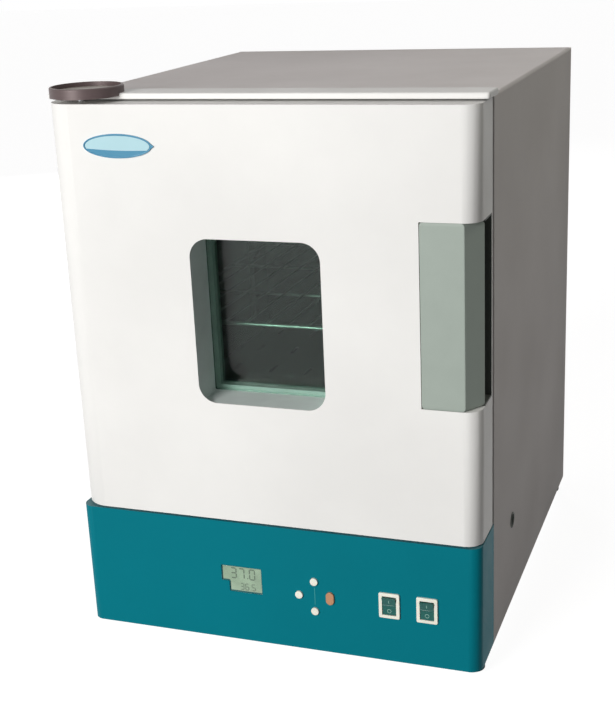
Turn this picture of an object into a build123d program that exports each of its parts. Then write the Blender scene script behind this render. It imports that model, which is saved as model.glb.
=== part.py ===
from build123d import *
import os
from math import hypot, radians, sin

# Bench incubator with a thick hinged door, a small window and a control panel below the door.
# Millimetres. X to the right, Y to the back, Z up. The sizes below and all the functions count
# from the floor point straight below the middle of the cabinet's front plane. The finished pieces
# are then moved so that the origin lies on the floor below the middle of the whole.

# Cabinet
BODY_W = 500.0
BODY_D = 518.0
BODY_H = 648.0
FOOT_H = 12.0
SHEET = 1.5
BEND_R = 4.0

# Chamber
WOOL_SIDE = 57.0
WOOL_BACK = 82.0
CHAMBER_H = 370.0
CHAMBER_Z = 232.0
CHAMBER_R = 12.0

# Front: door and control panel share one front plane
FRONT_T = 71.0
PANEL_H = 156.0
PANEL_WALL = 3.0
PANEL_CORNER_R = 14.0
SEAM = 2.6
DOOR_GAP = 8.0
DOOR_CORNER_R = 19.0
DOOR_HINGE_R = 34.0
TOP_GAP = 2.0

# Hinge
PIN_R = 5.0
BUSH_R = 8.0
BUSH_L = 30.0
COLLAR_R = 9.0
PIN_CLEAR = 0.05
LIFT_CLEAR = 0.3
VISOR_T = 7.0
VISOR_REACH = 45.0
VISOR_SIDE = 5.0
VISOR_TONGUE = 30.0
CAP_R = 42.0
CAP_H = 8.5
CAP_DISH = 5.0
CAP_LIP = 3.0
CAP_RIGHT = 11.0
CAP_FORWARD = 5.0
CAP_CLEAR = 0.3
CAP_FLOAT = 4.0
CAP_EDGE_R = 1.5
CAP_HOLLOW = 1.0
PIN_HEAD_R = 9.0
PIN_HEAD_H = 2.0
BRACKET_T = 4.0
BRACKET_W = 44.0
BRACKET_H = 40.0
BRACKET_NOSE = 16.0
BRACKET_SCREW_RISE = 12.0
BRACKET_GAP = 2.0
VISOR_CORNER_R = 3.5
VISOR_EDGE_R = 2.0
VISOR_STEP = 0.6
VISOR_SCREW_X = (-150.0, -50.0, 50.0, 150.0)
VISOR_SCREW_INSET = 10.0
TONGUE_INSET = 20.0
TONGUE_T = 1.2
TONGUE_HEAD_R = 3.0
TONGUE_HEAD_H = 0.8

# Window
WIN_W = 154.0
WIN_H = 193.0
WIN_X = -2.0
WIN_Z = 414.0
WIN_R = 22.0
WIN_TUBE_R = 2.0
WIN_WALL = 3.0
WIN_DEPTH = 45.0
GLASS_T = 4.0
GLASS_CLEAR = 0.2
SPACER_W = 6.0

# Gasket
GASKET_W = 14.0
GASKET_OUT = 22.0
GASKET_GAP = 0.3

# Handle
HANDLE_W = 65.0
HANDLE_H = 207.0
HANDLE_Z = 433.5
GRIP_T = 8.0
GRIP_LIP = 25.0
GRIP_FACET = 16.2
POCKET_WALL = 2.0
POST_R = 5.0
POST_INSET = 11.0
POCKET_SKIN = 2.5
GRIP_SCREW_L = 14.0

# Control panel
DISPLAY_W = 52.0
DISPLAY_H = 34.0
DISPLAY_X = -41.0
DISPLAY_Z = 93.5
DISPLAY_T = 2.0
DISPLAY_ROW_H = 20.4
DISPLAY_STEP = 9.6
DISPLAY_R = 1.5
DISPLAY_LEDGE = 1.2
PAD_X = 51.4
PAD_Z = 84.0
PAD_STEP = 19.3
BUTTON_R = 4.8
BUTTON_OUT = 2.5
BUTTON_CLEAR = 0.2
BUTTON_TRAVEL = 1.0
PILL_W = 10.0
PILL_H = 16.0
BUTTON_FLANGE = 1.8
TACT_W = 6.0
TACT_CASE = 3.5
TACT_H = 5.0
TACT_STEM_R = 1.7
SWITCH_W = 25.0
SWITCH_H = 32.0
SWITCH_Z = 85.0
SWITCH_SIDES = (107.0, 62.0)
BEZEL_T = 2.5
BEZEL_RIM = 4.0
SWITCH_WALL = 1.2
SWITCH_DEPTH = 20.0
ROCKER_TILT = 9.0
ROCKER_CLEAR = 0.6
AXLE_R = 1.5
AXLE_RISE = 0.5
ROCKER_FACE = 1.0
ROCKER_BACK = 9.0
TAB_STEP = 7.0
TAB_W = 6.0
TAB_L = 8.0
TAB_T = 0.8

# Badge
BADGE_W = 87.0
BADGE_H = 27.0
BADGE_SIDE = 94.5
BADGE_Z = 612.5
BADGE_T = 1.6
BADGE_RIM = 1.4
BADGE_TIP = 1.6
BADGE_TIP_X = 0.80
BADGE_TIP_Z = 0.46

# Side port
PORT_Y = 109.0
PORT_Z = 124.0
PORT_R = 8.0
PORT_WALL = 1.0
PORT_L = 14.0
PORT_FLANGE = 1.0

# Shelves
SHELF_Z = (388.0, 520.0)
SHELF_FRAME_R = 2.5
SHELF_WIRE_R = 1.5
SHELF_SIDE_GAP = 5.0
SHELF_END_GAP = 14.0
SHELF_WIRES = 13
RAIL_W = 14.0
RAIL_T = 2.5
RAIL_Z = (285.0, 575.0)
RAIL_INSET = 62.0
CLIP_H = 5.0
CLIP_REACH = 13.0

# Heater and floor plate
FLOOR_RISE = 30.0
FLOOR_GAP = 6.0
FLOOR_SLOTS = (5, 7)
FLANGE = 25.0
HEATER_R = 4.0
HEATER_RISE = 17.0
HEATER_BEND = 14.0
HEATER_LEG_X = 30.0
HEATER_BACK = 120.0
HEATER_FRONT = 60.0
HEATER_SIDE = 40.0
HEATER_REACH = 50.0
PROBE_X = 60.0
PROBE_Z = 460.0
PROBE_R = 2.5
PROBE_L = 70.0
PROBE_TAIL = 20.0
LAMP_SIDE = 70.0
LAMP_Z = 560.0
LAMP_R = 22.0
LAMP_TAIL = 25.0

# Feet and fasteners
FOOT_R = 12.0
FOOT_RECESS = 5.0
FOOT_SIDE = 14.0
FOOT_FRONT = 31.0
FOOT_BACK = 30.0
SCREW_R = 2.0
SCREW_HEAD_R = 4.0
SCREW_HEAD_H = 2.0
REAR_SCREW_SIDE = 12.0
REAR_SCREW_END = 40.0

# Electrical bay
DIVIDER_RISE = 4.0
VENT_SIDES = (250.0, 130.0)
VENT_LOW = 32.0
VENT_STEP = 14.0
VENT_ROWS = 6
VENT_W = 70.0
VENT_H = 5.0
WIRING_W = 260.0
WIRING_H = 80.0
BOARD_T = 1.6
BOARD_W = 190.0
BOARD_H = 74.0
BOARD_X = 6.0
BOARD_Z = 84.0
BOARD_BACK = 12.0
INLET_SIDE = 100.0
INLET_Z = 70.0
INLET_W = 31.0
INLET_H = 24.0
INLET_DEPTH = 22.0
INLET_WALL = 3.0
INLET_R = 2.5
INLET_RIM = 2.0
BLADE_T = 2.0
BLADE_H = 4.0
BLADE_STEP = 7.0
BLADE_SUNK = 4.0
BLADE_TAIL = 6.0
SUPPLY_W = 120.0
SUPPLY_D = 100.0
SUPPLY_H = 45.0
SUPPLY_SIDE = 120.0
RELAY_W = 90.0
RELAY_D = 70.0
RELAY_SIDE = 165.0
RELAY_FINS = 7
FIN_T = 3.0
FIN_H = 16.0
SINK_T = 6.0
RELAY_BLOCK = 45.0
RELAY_BLOCK_H = 22.0
BAY_BACK = 188.0
TERMINAL_W = 60.0
TERMINAL_D = 22.0
TERMINAL_H = 20.0
TERMINAL_X = -10.0
TERMINALS = 5
TERMINAL_R = 3.0

# Worked out from the sizes above
BASE_Z = FOOT_H
TOP_Z = FOOT_H + BODY_H
HALF_W = BODY_W / 2
PANEL_TOP = BASE_Z + PANEL_H
DOOR_Z0 = PANEL_TOP + SEAM
DOOR_Z1 = TOP_Z - TOP_GAP
FRONT_Y = -FRONT_T
DOOR_BACK_Y = -DOOR_GAP
PIVOT_X = -HALF_W + DOOR_HINGE_R
PIVOT_Y = FRONT_Y + DOOR_HINGE_R
DIVIDER_Z = PANEL_TOP + DIVIDER_RISE
CHAMBER_Y = 2 * SHEET
CHAMBER_TOP = CHAMBER_Z + CHAMBER_H
INNER_X = HALF_W - SHEET
BASE_TOP = BASE_Z + SHEET
REAR_Y = BODY_D - SHEET
CHAMBER_BACK = REAR_Y - WOOL_BACK - SHEET
CHAMBER_W = 2 * (INNER_X - WOOL_SIDE - SHEET)
SWITCH_X = [HALF_W - side for side in SWITCH_SIDES]
VENT_X = [HALF_W - side for side in VENT_SIDES]
BADGE_X = -HALF_W + BADGE_SIDE
LAMP_X = -CHAMBER_W / 2 + LAMP_SIDE
INLET_X = -HALF_W + INLET_SIDE
SUPPLY_X = -HALF_W + SUPPLY_SIDE
RELAY_X = HALF_W - RELAY_SIDE
BAY_Y = BODY_D - BAY_BACK
FOOT_X = HALF_W - FOOT_SIDE
FOOT_Y = (-FRONT_T + FOOT_FRONT, BODY_D - FOOT_BACK)
HANDLE_X0 = HALF_W - HANDLE_W
HANDLE_Z0 = HANDLE_Z - HANDLE_H / 2
HANDLE_Z1 = HANDLE_Z + HANDLE_H / 2
POCKET_BACK = DOOR_BACK_Y - SHEET - POCKET_SKIN
GLASS_FRONT = FRONT_Y + WIN_DEPTH
INNER_GLASS_BACK = DOOR_BACK_Y - SHEET
PANEL_BACK = FRONT_Y + PANEL_WALL
BOARD_Y = PANEL_BACK + BOARD_BACK
ROCKER_H = SWITCH_H - 2 * BEZEL_RIM
ROCKER_Y = FRONT_Y - AXLE_RISE
HEATER_LEGS = (-HEATER_LEG_X, HEATER_LEG_X)
HEATER_Y1 = CHAMBER_BACK - HEATER_BACK
POST_X = HANDLE_X0 + POST_INSET
GRIP_POSTS = (HANDLE_Z0 + POST_INSET, HANDLE_Z1 - POST_INSET)
MIDDLE_Y = (PIVOT_Y - CAP_FORWARD - CAP_R + BODY_D + SCREW_HEAD_H) / 2


def span(x0, x1, y0, y1, z0, z1):
    """Block between two corners."""
    middle = Pos((x0 + x1) / 2, (y0 + y1) / 2, (z0 + z1) / 2)
    return middle * Box(x1 - x0, y1 - y0, z1 - z0)


def front_prism(sketch, y0, y1):
    """Outline seen from the front, between two depths."""
    return extrude(Plane.XZ.offset(-y1) * sketch, y1 - y0)


def plan_prism(sketch, z0, z1):
    """Outline seen from above, between two heights."""
    return extrude(Pos(0, 0, z0) * sketch, z1 - z0)


def side_prism(sketch, x0, x1):
    """Outline seen from the right, between two widths."""
    return extrude(Plane.YZ.offset(x0) * sketch, x1 - x0)


def rect(x0, x1, y0, y1):
    """Flat rectangle between two corners."""
    return Pos((x0 + x1) / 2, (y0 + y1) / 2) * Rectangle(x1 - x0, y1 - y0)


def rod_z(x, y, z0, z1, r):
    """Upright round bar."""
    return Pos(x, y, (z0 + z1) / 2) * Cylinder(r, z1 - z0)


def rod_y(x, z, y0, y1, r):
    """Round bar that runs from front to back."""
    return Pos(x, (y0 + y1) / 2, z) * Rot(90, 0, 0) * Cylinder(r, y1 - y0)


def rod_x(y, z, x0, x1, r):
    """Round bar that runs across."""
    return Pos((x0 + x1) / 2, y, z) * Rot(0, 90, 0) * Cylinder(r, x1 - x0)


def screw_y(x, z, y_seat, length, way):
    """Pan head screw along Y. Its head lies against y_seat and its shank runs in the direction way."""
    head = rod_y(x, z, *sorted((y_seat, y_seat - way * SCREW_HEAD_H)), SCREW_HEAD_R)
    shank = rod_y(x, z, *sorted((y_seat, y_seat + way * length)), SCREW_R)
    return head + shank


def screw_z(x, y, z_seat, length, way):
    """Pan head screw along Z. Its head lies against z_seat and its shank runs in the direction way."""
    head = rod_z(x, y, *sorted((z_seat, z_seat - way * SCREW_HEAD_H)), SCREW_HEAD_R)
    shank = rod_z(x, y, *sorted((z_seat, z_seat + way * length)), SCREW_R)
    return head + shank


def corners(x, y):
    """The four points at plus and minus x and y."""
    return [(sx * x, sy * y) for sx in (-1, 1) for sy in (-1, 1)]


# Cabinet shell

FOOT_POINTS = [(sx * FOOT_X, y) for sx in (-1, 1) for y in FOOT_Y]
VISOR_SCREWS = [(x, VISOR_TONGUE - VISOR_SCREW_INSET) for x in VISOR_SCREW_X]
REAR_SCREW_Z = (BASE_Z + REAR_SCREW_END, BASE_Z + BODY_H / 2, TOP_Z - REAR_SCREW_END)
REAR_SCREWS = [(sx * (HALF_W - REAR_SCREW_SIDE), z) for sx in (-1, 1) for z in REAR_SCREW_Z]
BRACKET_SCREW_Z = PANEL_TOP - PANEL_WALL - BRACKET_GAP - BRACKET_H + BRACKET_SCREW_RISE
BRACKET_SCREWS = [(PIVOT_X + side * BRACKET_W / 4, BRACKET_SCREW_Z) for side in (-1, 1)]
VENTS_Z = [BASE_Z + VENT_LOW + VENT_STEP * i for i in range(VENT_ROWS)]


def cabinet_wrap():
    """Painted sheet bent over the top and down both sides."""
    outer = fillet(rect(-HALF_W, HALF_W, BASE_Z, TOP_Z).vertices().group_by(Axis.Y)[-1], BEND_R)
    inner = fillet(
        rect(-INNER_X, INNER_X, BASE_Z - 1, TOP_Z - SHEET).vertices().group_by(Axis.Y)[-1],
        BEND_R - SHEET,
    )
    sheet = front_prism(outer - inner, SHEET, REAR_Y)
    sheet -= rod_x(PORT_Y, PORT_Z, HALF_W - 10, HALF_W + 10, PORT_R + PORT_WALL)
    for x, y in VISOR_SCREWS:
        sheet -= rod_z(x, y, TOP_Z - 10, TOP_Z + 10, SCREW_R)
    return sheet


def front_frame():
    """Flat face frame with the chamber mouth and a wiring window behind the control panel."""
    plate = span(-HALF_W, HALF_W, 0, SHEET, BASE_TOP, TOP_Z)
    mouth_z = CHAMBER_Z + CHAMBER_H / 2
    plate -= front_prism(Pos(0, mouth_z) * RectangleRounded(CHAMBER_W, CHAMBER_H, CHAMBER_R), -5, 5)
    window_z = BASE_Z + PANEL_H / 2
    plate -= front_prism(Pos(0, window_z) * RectangleRounded(WIRING_W, WIRING_H, CHAMBER_R), -5, 5)
    for x, z in BRACKET_SCREWS:
        plate -= rod_y(x, z, -5, 5, SCREW_R)
    return plate


def base_plate():
    """Bottom sheet. It reaches forward and closes the control panel from below."""
    plate = span(-INNER_X, INNER_X, 0, REAR_Y, BASE_Z, BASE_TOP)
    reach = HALF_W - PANEL_WALL
    front = rect(-reach, reach, PANEL_BACK, 0)
    front = fillet(front.vertices().group_by(Axis.Y)[0], PANEL_CORNER_R - PANEL_WALL)
    plate += plan_prism(front, BASE_Z, BASE_TOP)
    for x, y in FOOT_POINTS:
        plate -= rod_z(x, y, BASE_Z - 5, BASE_TOP + 5, SCREW_R)
    return plate


def rear_panel():
    """Back sheet with low vent slots and the cut-out of the power inlet."""
    plate = span(-HALF_W, HALF_W, REAR_Y, BODY_D, BASE_Z, TOP_Z)
    for z in VENTS_Z:
        for x in VENT_X:
            slot = Pos(x, z) * SlotOverall(VENT_W, VENT_H)
            plate -= front_prism(slot, REAR_Y - 5, BODY_D + 5)
    cut = Pos(INLET_X, INLET_Z) * Rectangle(INLET_W - 4, INLET_H - 4)
    plate -= front_prism(cut, REAR_Y - 5, BODY_D + 5)
    for x, z in REAR_SCREWS:
        plate -= rod_y(x, z, REAR_Y - 5, BODY_D + 5, SCREW_R)
    return plate


def rear_screws():
    """Screws of the back sheet."""
    return [screw_y(x, z, BODY_D, SHEET, -1) for x, z in REAR_SCREWS]


def feet():
    """Four rubber feet with a recess for the screw head."""
    result = []
    for x, y in FOOT_POINTS:
        foot = Pos(x, y, FOOT_H / 2) * Cylinder(FOOT_R, FOOT_H)
        foot = chamfer(foot.edges().group_by(Axis.Z)[0], 2.0)
        foot -= rod_z(x, y, -1, FOOT_RECESS, SCREW_HEAD_R + 1)
        foot -= rod_z(x, y, -1, FOOT_H + 1, SCREW_R)
        result.append(foot)
    return result


def foot_screws():
    """Screws that hold the feet from below."""
    reach = BASE_TOP - FOOT_RECESS
    return [screw_z(x, y, FOOT_RECESS, reach, 1) for x, y in FOOT_POINTS]


def bay_divider():
    """Level sheet that carries the insulation above the electrical bay."""
    return span(-INNER_X, INNER_X, SHEET, REAR_Y, DIVIDER_Z, DIVIDER_Z + SHEET)


# Chamber


def chamber_liner():
    """Stainless chamber of five welded sheets, with a flange of four strips behind the face frame."""
    x = CHAMBER_W / 2
    x_out = x + SHEET
    z0, z1 = CHAMBER_Z - SHEET, CHAMBER_TOP + SHEET
    back = span(-x_out, x_out, CHAMBER_BACK, CHAMBER_BACK + SHEET, z0, z1)
    back -= rod_y(PROBE_X, PROBE_Z, CHAMBER_BACK - 5, CHAMBER_BACK + 5, PROBE_R)
    back -= rod_y(LAMP_X, LAMP_Z, CHAMBER_BACK - 5, CHAMBER_BACK + 5, LAMP_R / 2)
    floor = span(-x, x, SHEET, CHAMBER_BACK, z0, CHAMBER_Z)
    for leg in HEATER_LEGS:
        floor -= rod_z(leg, HEATER_Y1, CHAMBER_Z - 5, CHAMBER_Z + 5, HEATER_R)
    sheets = [back, floor, span(-x, x, SHEET, CHAMBER_BACK, CHAMBER_TOP, z1)]
    flange = FLANGE - SHEET
    for side in (-1, 1):
        wall = sorted((side * x, side * x_out))
        strip = sorted((side * x_out, side * (x_out + flange)))
        sheets.append(span(*wall, SHEET, CHAMBER_BACK, z0, z1))
        sheets.append(span(*strip, SHEET, CHAMBER_Y, z0 - flange, z1 + flange))
    sheets.append(span(-x_out, x_out, SHEET, CHAMBER_Y, z0 - flange, z0))
    sheets.append(span(-x_out, x_out, SHEET, CHAMBER_Y, z1, z1 + flange))
    return sheets


def insulation():
    """Five boards of mineral wool round the chamber."""
    x_in = CHAMBER_W / 2 + SHEET
    z_in = CHAMBER_Z - SHEET
    z_top = CHAMBER_TOP + SHEET
    z_low = DIVIDER_Z + SHEET
    back = CHAMBER_BACK + SHEET
    lamp = rod_y(LAMP_X, LAMP_Z, back - 5, back + LAMP_TAIL, LAMP_R / 2)
    probe = rod_y(PROBE_X, PROBE_Z, back - 5, back + PROBE_TAIL, PROBE_R)
    z_high = TOP_Z - BEND_R
    low = span(-x_in, x_in, CHAMBER_Y, back, z_low, z_in)
    for x in HEATER_LEGS:
        low -= rod_z(x, HEATER_Y1, z_low - 5, z_in + 5, HEATER_R)
    return [
        low,
        span(-x_in, x_in, CHAMBER_Y, back, z_top, z_high),
        span(-INNER_X, -x_in, CHAMBER_Y, back, z_low, z_high),
        span(x_in, INNER_X, CHAMBER_Y, back, z_low, z_high),
        span(-INNER_X, INNER_X, back, REAR_Y, z_low, z_high) - lamp - probe,
    ]


def floor_plate():
    """Slotted plate on two folded sides, above the heater."""
    x = CHAMBER_W / 2 - FLOOR_GAP
    y0 = CHAMBER_Y + FLOOR_GAP
    y1 = CHAMBER_BACK - FLOOR_GAP
    top = CHAMBER_Z + FLOOR_RISE
    plate = span(-x, x, y0, y1, top - SHEET, top)
    side_y = (y0 + CHAMBER_R, y1 - CHAMBER_R)
    foot_x = CHAMBER_W / 2 - CHAMBER_R
    for side in (-1, 1):
        edges = sorted((side * foot_x, side * (foot_x - SHEET)))
        plate += span(*edges, *side_y, CHAMBER_Z, top - SHEET / 2)
    rows, columns = FLOOR_SLOTS
    slots = GridLocations((y1 - y0) / rows, 2 * foot_x / columns, rows, columns)
    for place in slots:
        y, x_slot = place.position.X, place.position.Y
        slot = Pos(x_slot, (y0 + y1) / 2 + y) * SlotOverall(30, 6, rotation=90)
        plate -= plan_prism(slot, top - 5, top + 5)
    return plate


def heater_element():
    """Bent tubular heater with two legs through the chamber floor."""
    z = CHAMBER_Z + HEATER_RISE
    x_out = CHAMBER_W / 2 - HEATER_SIDE
    leg, inner = HEATER_LEGS[1], x_out / 2
    y0, y1 = CHAMBER_Y + HEATER_FRONT, HEATER_Y1
    points = [
        (-leg, y1, DIVIDER_Z + SHEET + LIFT_CLEAR),
        (-leg, y1, z),
        (-inner, y1, z),
        (-inner, y0, z),
        (-x_out, y0, z),
        (-x_out, y1 + HEATER_REACH, z),
        (x_out, y1 + HEATER_REACH, z),
        (x_out, y0, z),
        (inner, y0, z),
        (inner, y1, z),
        (leg, y1, z),
        (leg, y1, DIVIDER_Z + SHEET + LIFT_CLEAR),
    ]
    path = FilletPolyline(*points, radius=HEATER_BEND)
    return sweep(Plane(path @ 0, z_dir=path % 0) * Circle(HEATER_R), path)


def shelf_rails():
    """Four upright rails with clips that carry the shelves."""
    result = []
    wall = CHAMBER_W / 2
    reach = CLIP_REACH
    for side in (-1, 1):
        for y in (CHAMBER_Y + RAIL_INSET, CHAMBER_BACK - RAIL_INSET):
            edges = sorted((side * wall, side * (wall - RAIL_T)))
            rail = span(*edges, y - RAIL_W / 2, y + RAIL_W / 2, *RAIL_Z)
            for z in SHELF_Z:
                top = z - SHELF_FRAME_R
                edges = sorted((side * (wall - RAIL_T / 2), side * (wall - reach)))
                rail += span(*edges, y - RAIL_W / 2, y + RAIL_W / 2, top - CLIP_H, top)
            result.append(rail)
    return result


def wire_shelf(z):
    """Welded wire shelf: a round bar frame with thinner wires on two cross bars."""
    x = CHAMBER_W / 2 - SHELF_SIDE_GAP - SHELF_FRAME_R
    y0 = CHAMBER_Y + SHELF_END_GAP
    y1 = CHAMBER_BACK - SHELF_END_GAP
    corner = 4 * SHELF_FRAME_R
    half = (x, (y1 - y0) / 2)
    loop = Pos(0, (y0 + y1) / 2, z) * RectangleRounded(2 * half[0], 2 * half[1], corner).wire()
    start = Plane(loop @ 0, z_dir=loop % 0)
    shelf = sweep(start * Circle(SHELF_FRAME_R), loop)
    for share in (1 / 3, 2 / 3):
        shelf += rod_x(y0 + (y1 - y0) * share, z, -x, x, SHELF_FRAME_R * 0.8)
    pitch = 2 * x / (SHELF_WIRES + 1)
    for i in range(SHELF_WIRES):
        wire_x = -x + pitch * (i + 1)
        shelf += rod_y(wire_x, z + SHELF_WIRE_R, y0, y1, SHELF_WIRE_R)
    return shelf


def temperature_probe():
    """Thin sensor tube through the back wall."""
    y1 = CHAMBER_BACK + SHEET + PROBE_TAIL
    probe = rod_y(PROBE_X, PROBE_Z, CHAMBER_BACK - PROBE_L, y1, PROBE_R)
    probe += rod_y(PROBE_X, PROBE_Z, CHAMBER_BACK - 4, CHAMBER_BACK, 2.5 * PROBE_R)
    return probe


def lamp_socket():
    """Round base of the chamber lamp on the back wall."""
    socket = rod_y(LAMP_X, LAMP_Z, CHAMBER_BACK - 10, CHAMBER_BACK, LAMP_R)
    socket += rod_y(LAMP_X, LAMP_Z, CHAMBER_BACK - 1, CHAMBER_BACK + SHEET + LAMP_TAIL, LAMP_R / 2)
    return socket


def lamp_lens():
    """Domed cover of the chamber lamp."""
    r = LAMP_R - 2
    dome = Pos(LAMP_X, CHAMBER_BACK - 10, LAMP_Z) * Sphere(r)
    dome -= Pos(LAMP_X, CHAMBER_BACK - 10, LAMP_Z) * Sphere(r - 2)
    half = rod_y(LAMP_X, LAMP_Z, CHAMBER_BACK - 10 - 2 * r, CHAMBER_BACK - 10, 2 * r)
    return dome & half


# Top rail and hinge


def top_visor():
    """Rail above the door. It carries the upper pivot and is screwed to the roof by a tongue."""
    reach = HALF_W + VISOR_SIDE
    nose = rect(-reach, reach, -VISOR_REACH, -VISOR_STEP)
    nose = fillet(nose.vertices(), VISOR_CORNER_R)
    tongue_x = HALF_W - TONGUE_INSET
    tongue = rect(-tongue_x, tongue_x, -VISOR_REACH / 2, VISOR_TONGUE)
    visor = plan_prism(nose, TOP_Z, TOP_Z + VISOR_T)
    visor = fillet(visor.faces().sort_by(Axis.Y)[0].edges().filter_by(Axis.X), VISOR_EDGE_R)
    visor += plan_prism(tongue, TOP_Z, TOP_Z + TONGUE_T)
    visor -= rod_z(PIVOT_X, PIVOT_Y, TOP_Z - 5, TOP_Z + 20, PIN_R)
    for x, y in VISOR_SCREWS:
        visor -= rod_z(x, y, TOP_Z - 5, TOP_Z + 20, SCREW_R)
        visor -= rod_z(x, y, TOP_Z + TONGUE_T - TONGUE_HEAD_H, TOP_Z + 20, TONGUE_HEAD_R)
    return visor


def visor_screws():
    """Screws of the top rail's tongue, their low heads sunk flush."""
    top = TOP_Z + TONGUE_T
    heads = [rod_z(x, y, top - TONGUE_HEAD_H, top, TONGUE_HEAD_R) for x, y in VISOR_SCREWS]
    return [head + rod_z(x, y, TOP_Z - SHEET, top, SCREW_R) for head, (x, y) in zip(heads, VISOR_SCREWS)]


def hinge_cap():
    """Round dished cap over the upper pivot. Its skirt hangs down in front of the top rail."""
    seat = TOP_Z + VISOR_T
    x, y = PIVOT_X + CAP_RIGHT, PIVOT_Y - CAP_FORWARD
    cap = rod_z(x, y, TOP_Z + CAP_FLOAT, seat + CAP_H, CAP_R)
    cap = fillet(cap.edges().group_by(Axis.Z)[-1], CAP_EDGE_R)
    cap -= rod_z(x, y, seat + CAP_H - CAP_DISH, seat + CAP_H + 1, CAP_R - CAP_LIP)
    reach = HALF_W + VISOR_SIDE
    cap -= span(-reach - 1, reach, -VISOR_REACH - CAP_CLEAR, CAP_R, TOP_Z, seat)
    return cap - rod_z(PIVOT_X, PIVOT_Y, seat - 1, seat + PIN_HEAD_H + LIFT_CLEAR, PIN_HEAD_R + CAP_HOLLOW)


def upper_pin():
    """Upper pivot pin with its head on the rail, under the cap."""
    z0 = TOP_Z + VISOR_T
    pin = rod_z(PIVOT_X, PIVOT_Y, DOOR_Z1 - BUSH_L + 2, z0 + 1, PIN_R)
    return pin + rod_z(PIVOT_X, PIVOT_Y, z0, z0 + PIN_HEAD_H, PIN_HEAD_R)


def lower_bracket():
    """Angle bracket on the face frame, behind the control panel."""
    top = PANEL_TOP - PANEL_WALL - BRACKET_GAP
    x0, x1 = PIVOT_X - BRACKET_W / 2, PIVOT_X + BRACKET_W / 2
    shelf = span(x0, x1, PIVOT_Y - BRACKET_NOSE, 0, top - BRACKET_T, top)
    shelf += span(x0, x1, -BRACKET_T, 0, top - BRACKET_H, top)
    shelf -= rod_z(PIVOT_X, PIVOT_Y, top - 20, top + 20, PIN_R)
    for x, z in BRACKET_SCREWS:
        shelf -= rod_y(x, z, -20, 20, SCREW_R)
    return shelf


def lower_pin():
    """Lower pivot pin with a collar that carries the door."""
    top = PANEL_TOP - PANEL_WALL - BRACKET_GAP
    pin = rod_z(PIVOT_X, PIVOT_Y, top - BRACKET_T, DOOR_Z0 + BUSH_L - 2, PIN_R)
    return pin + rod_z(PIVOT_X, PIVOT_Y, top, DOOR_Z0 - LIFT_CLEAR, COLLAR_R)


def bracket_screws():
    """Screws of the lower bracket."""
    return [screw_y(x, z, -BRACKET_T, BRACKET_T + SHEET, 1) for x, z in BRACKET_SCREWS]


# Control panel

BUTTON_POINTS = {
    "up": (PAD_X, PAD_Z + PAD_STEP),
    "down": (PAD_X, PAD_Z - PAD_STEP),
    "left": (PAD_X - PAD_STEP, PAD_Z),
}
PILL_POINT = (PAD_X + PAD_STEP, PAD_Z)


def button_outline(name, extra):
    """Outline of a push button, grown by a clearance."""
    if name == "set":
        return Pos(*PILL_POINT) * SlotOverall(
            PILL_H + 2 * extra, PILL_W + 2 * extra, rotation=90
        )
    return Pos(*BUTTON_POINTS[name]) * Circle(BUTTON_R + extra)


BUTTON_NAMES = list(BUTTON_POINTS) + ["set"]


def button_place(name):
    """Middle of a push button, seen from the front."""
    return PILL_POINT if name == "set" else BUTTON_POINTS[name]


def control_fascia():
    """Front housing of the controls, open at the back and at the bottom."""
    outer = rect(-HALF_W, HALF_W, FRONT_Y, 0)
    outer = fillet(outer.vertices().group_by(Axis.Y)[0], PANEL_CORNER_R)
    reach = HALF_W - PANEL_WALL
    inner = rect(-reach, reach, PANEL_BACK, 1)
    inner = fillet(inner.vertices().group_by(Axis.Y)[0], PANEL_CORNER_R - PANEL_WALL)
    shell = plan_prism(outer, BASE_Z, PANEL_TOP)
    shell -= plan_prism(inner, BASE_Z - 1, PANEL_TOP - PANEL_WALL)
    shell -= front_prism(display_outline(0), FRONT_Y - 1, FRONT_Y + DISPLAY_T)
    shell -= front_prism(display_outline(DISPLAY_LEDGE), FRONT_Y - 1, PANEL_BACK + 1)
    for name in BUTTON_NAMES:
        shell -= front_prism(button_outline(name, BUTTON_CLEAR), FRONT_Y - 1, PANEL_BACK + 1)
    for x in SWITCH_X:
        w = SWITCH_W - 2 * (BEZEL_RIM - SWITCH_WALL)
        h = SWITCH_H - 2 * (BEZEL_RIM - SWITCH_WALL)
        shell -= front_prism(Pos(x, SWITCH_Z) * Rectangle(w, h), FRONT_Y - 1, PANEL_BACK + 1)
    shell -= rod_z(PIVOT_X, PIVOT_Y, PANEL_TOP - 10, PANEL_TOP + 10, COLLAR_R + 0.5)
    return shell


def display_outline(inset):
    """Stepped outline of the display: a wide upper row and a narrower lower one."""
    right = DISPLAY_X + DISPLAY_W / 2
    top = DISPLAY_Z + DISPLAY_H / 2
    upper = rect(right - DISPLAY_W, right, top - DISPLAY_ROW_H, top)
    lower = rect(right - DISPLAY_W + DISPLAY_STEP, right, top - DISPLAY_H, top - DISPLAY_ROW_H / 2)
    outline = upper + lower
    outline = fillet(outline.vertices(), DISPLAY_R)
    return offset(outline, -inset) if inset else outline


def display_window():
    """Clear cover of the display, let into the panel."""
    return front_prism(display_outline(0), FRONT_Y, FRONT_Y + DISPLAY_T)


def display_module():
    """Liquid crystal module between the panel and the board."""
    w, h = DISPLAY_W + 10, DISPLAY_H + 6
    x, z = DISPLAY_X, DISPLAY_Z
    module = span(x - w / 2, x + w / 2, PANEL_BACK, BOARD_Y, z - h / 2, z + h / 2)
    glass = display_outline(DISPLAY_LEDGE + GLASS_CLEAR)
    return module + front_prism(glass, FRONT_Y + DISPLAY_T, PANEL_BACK)


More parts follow.
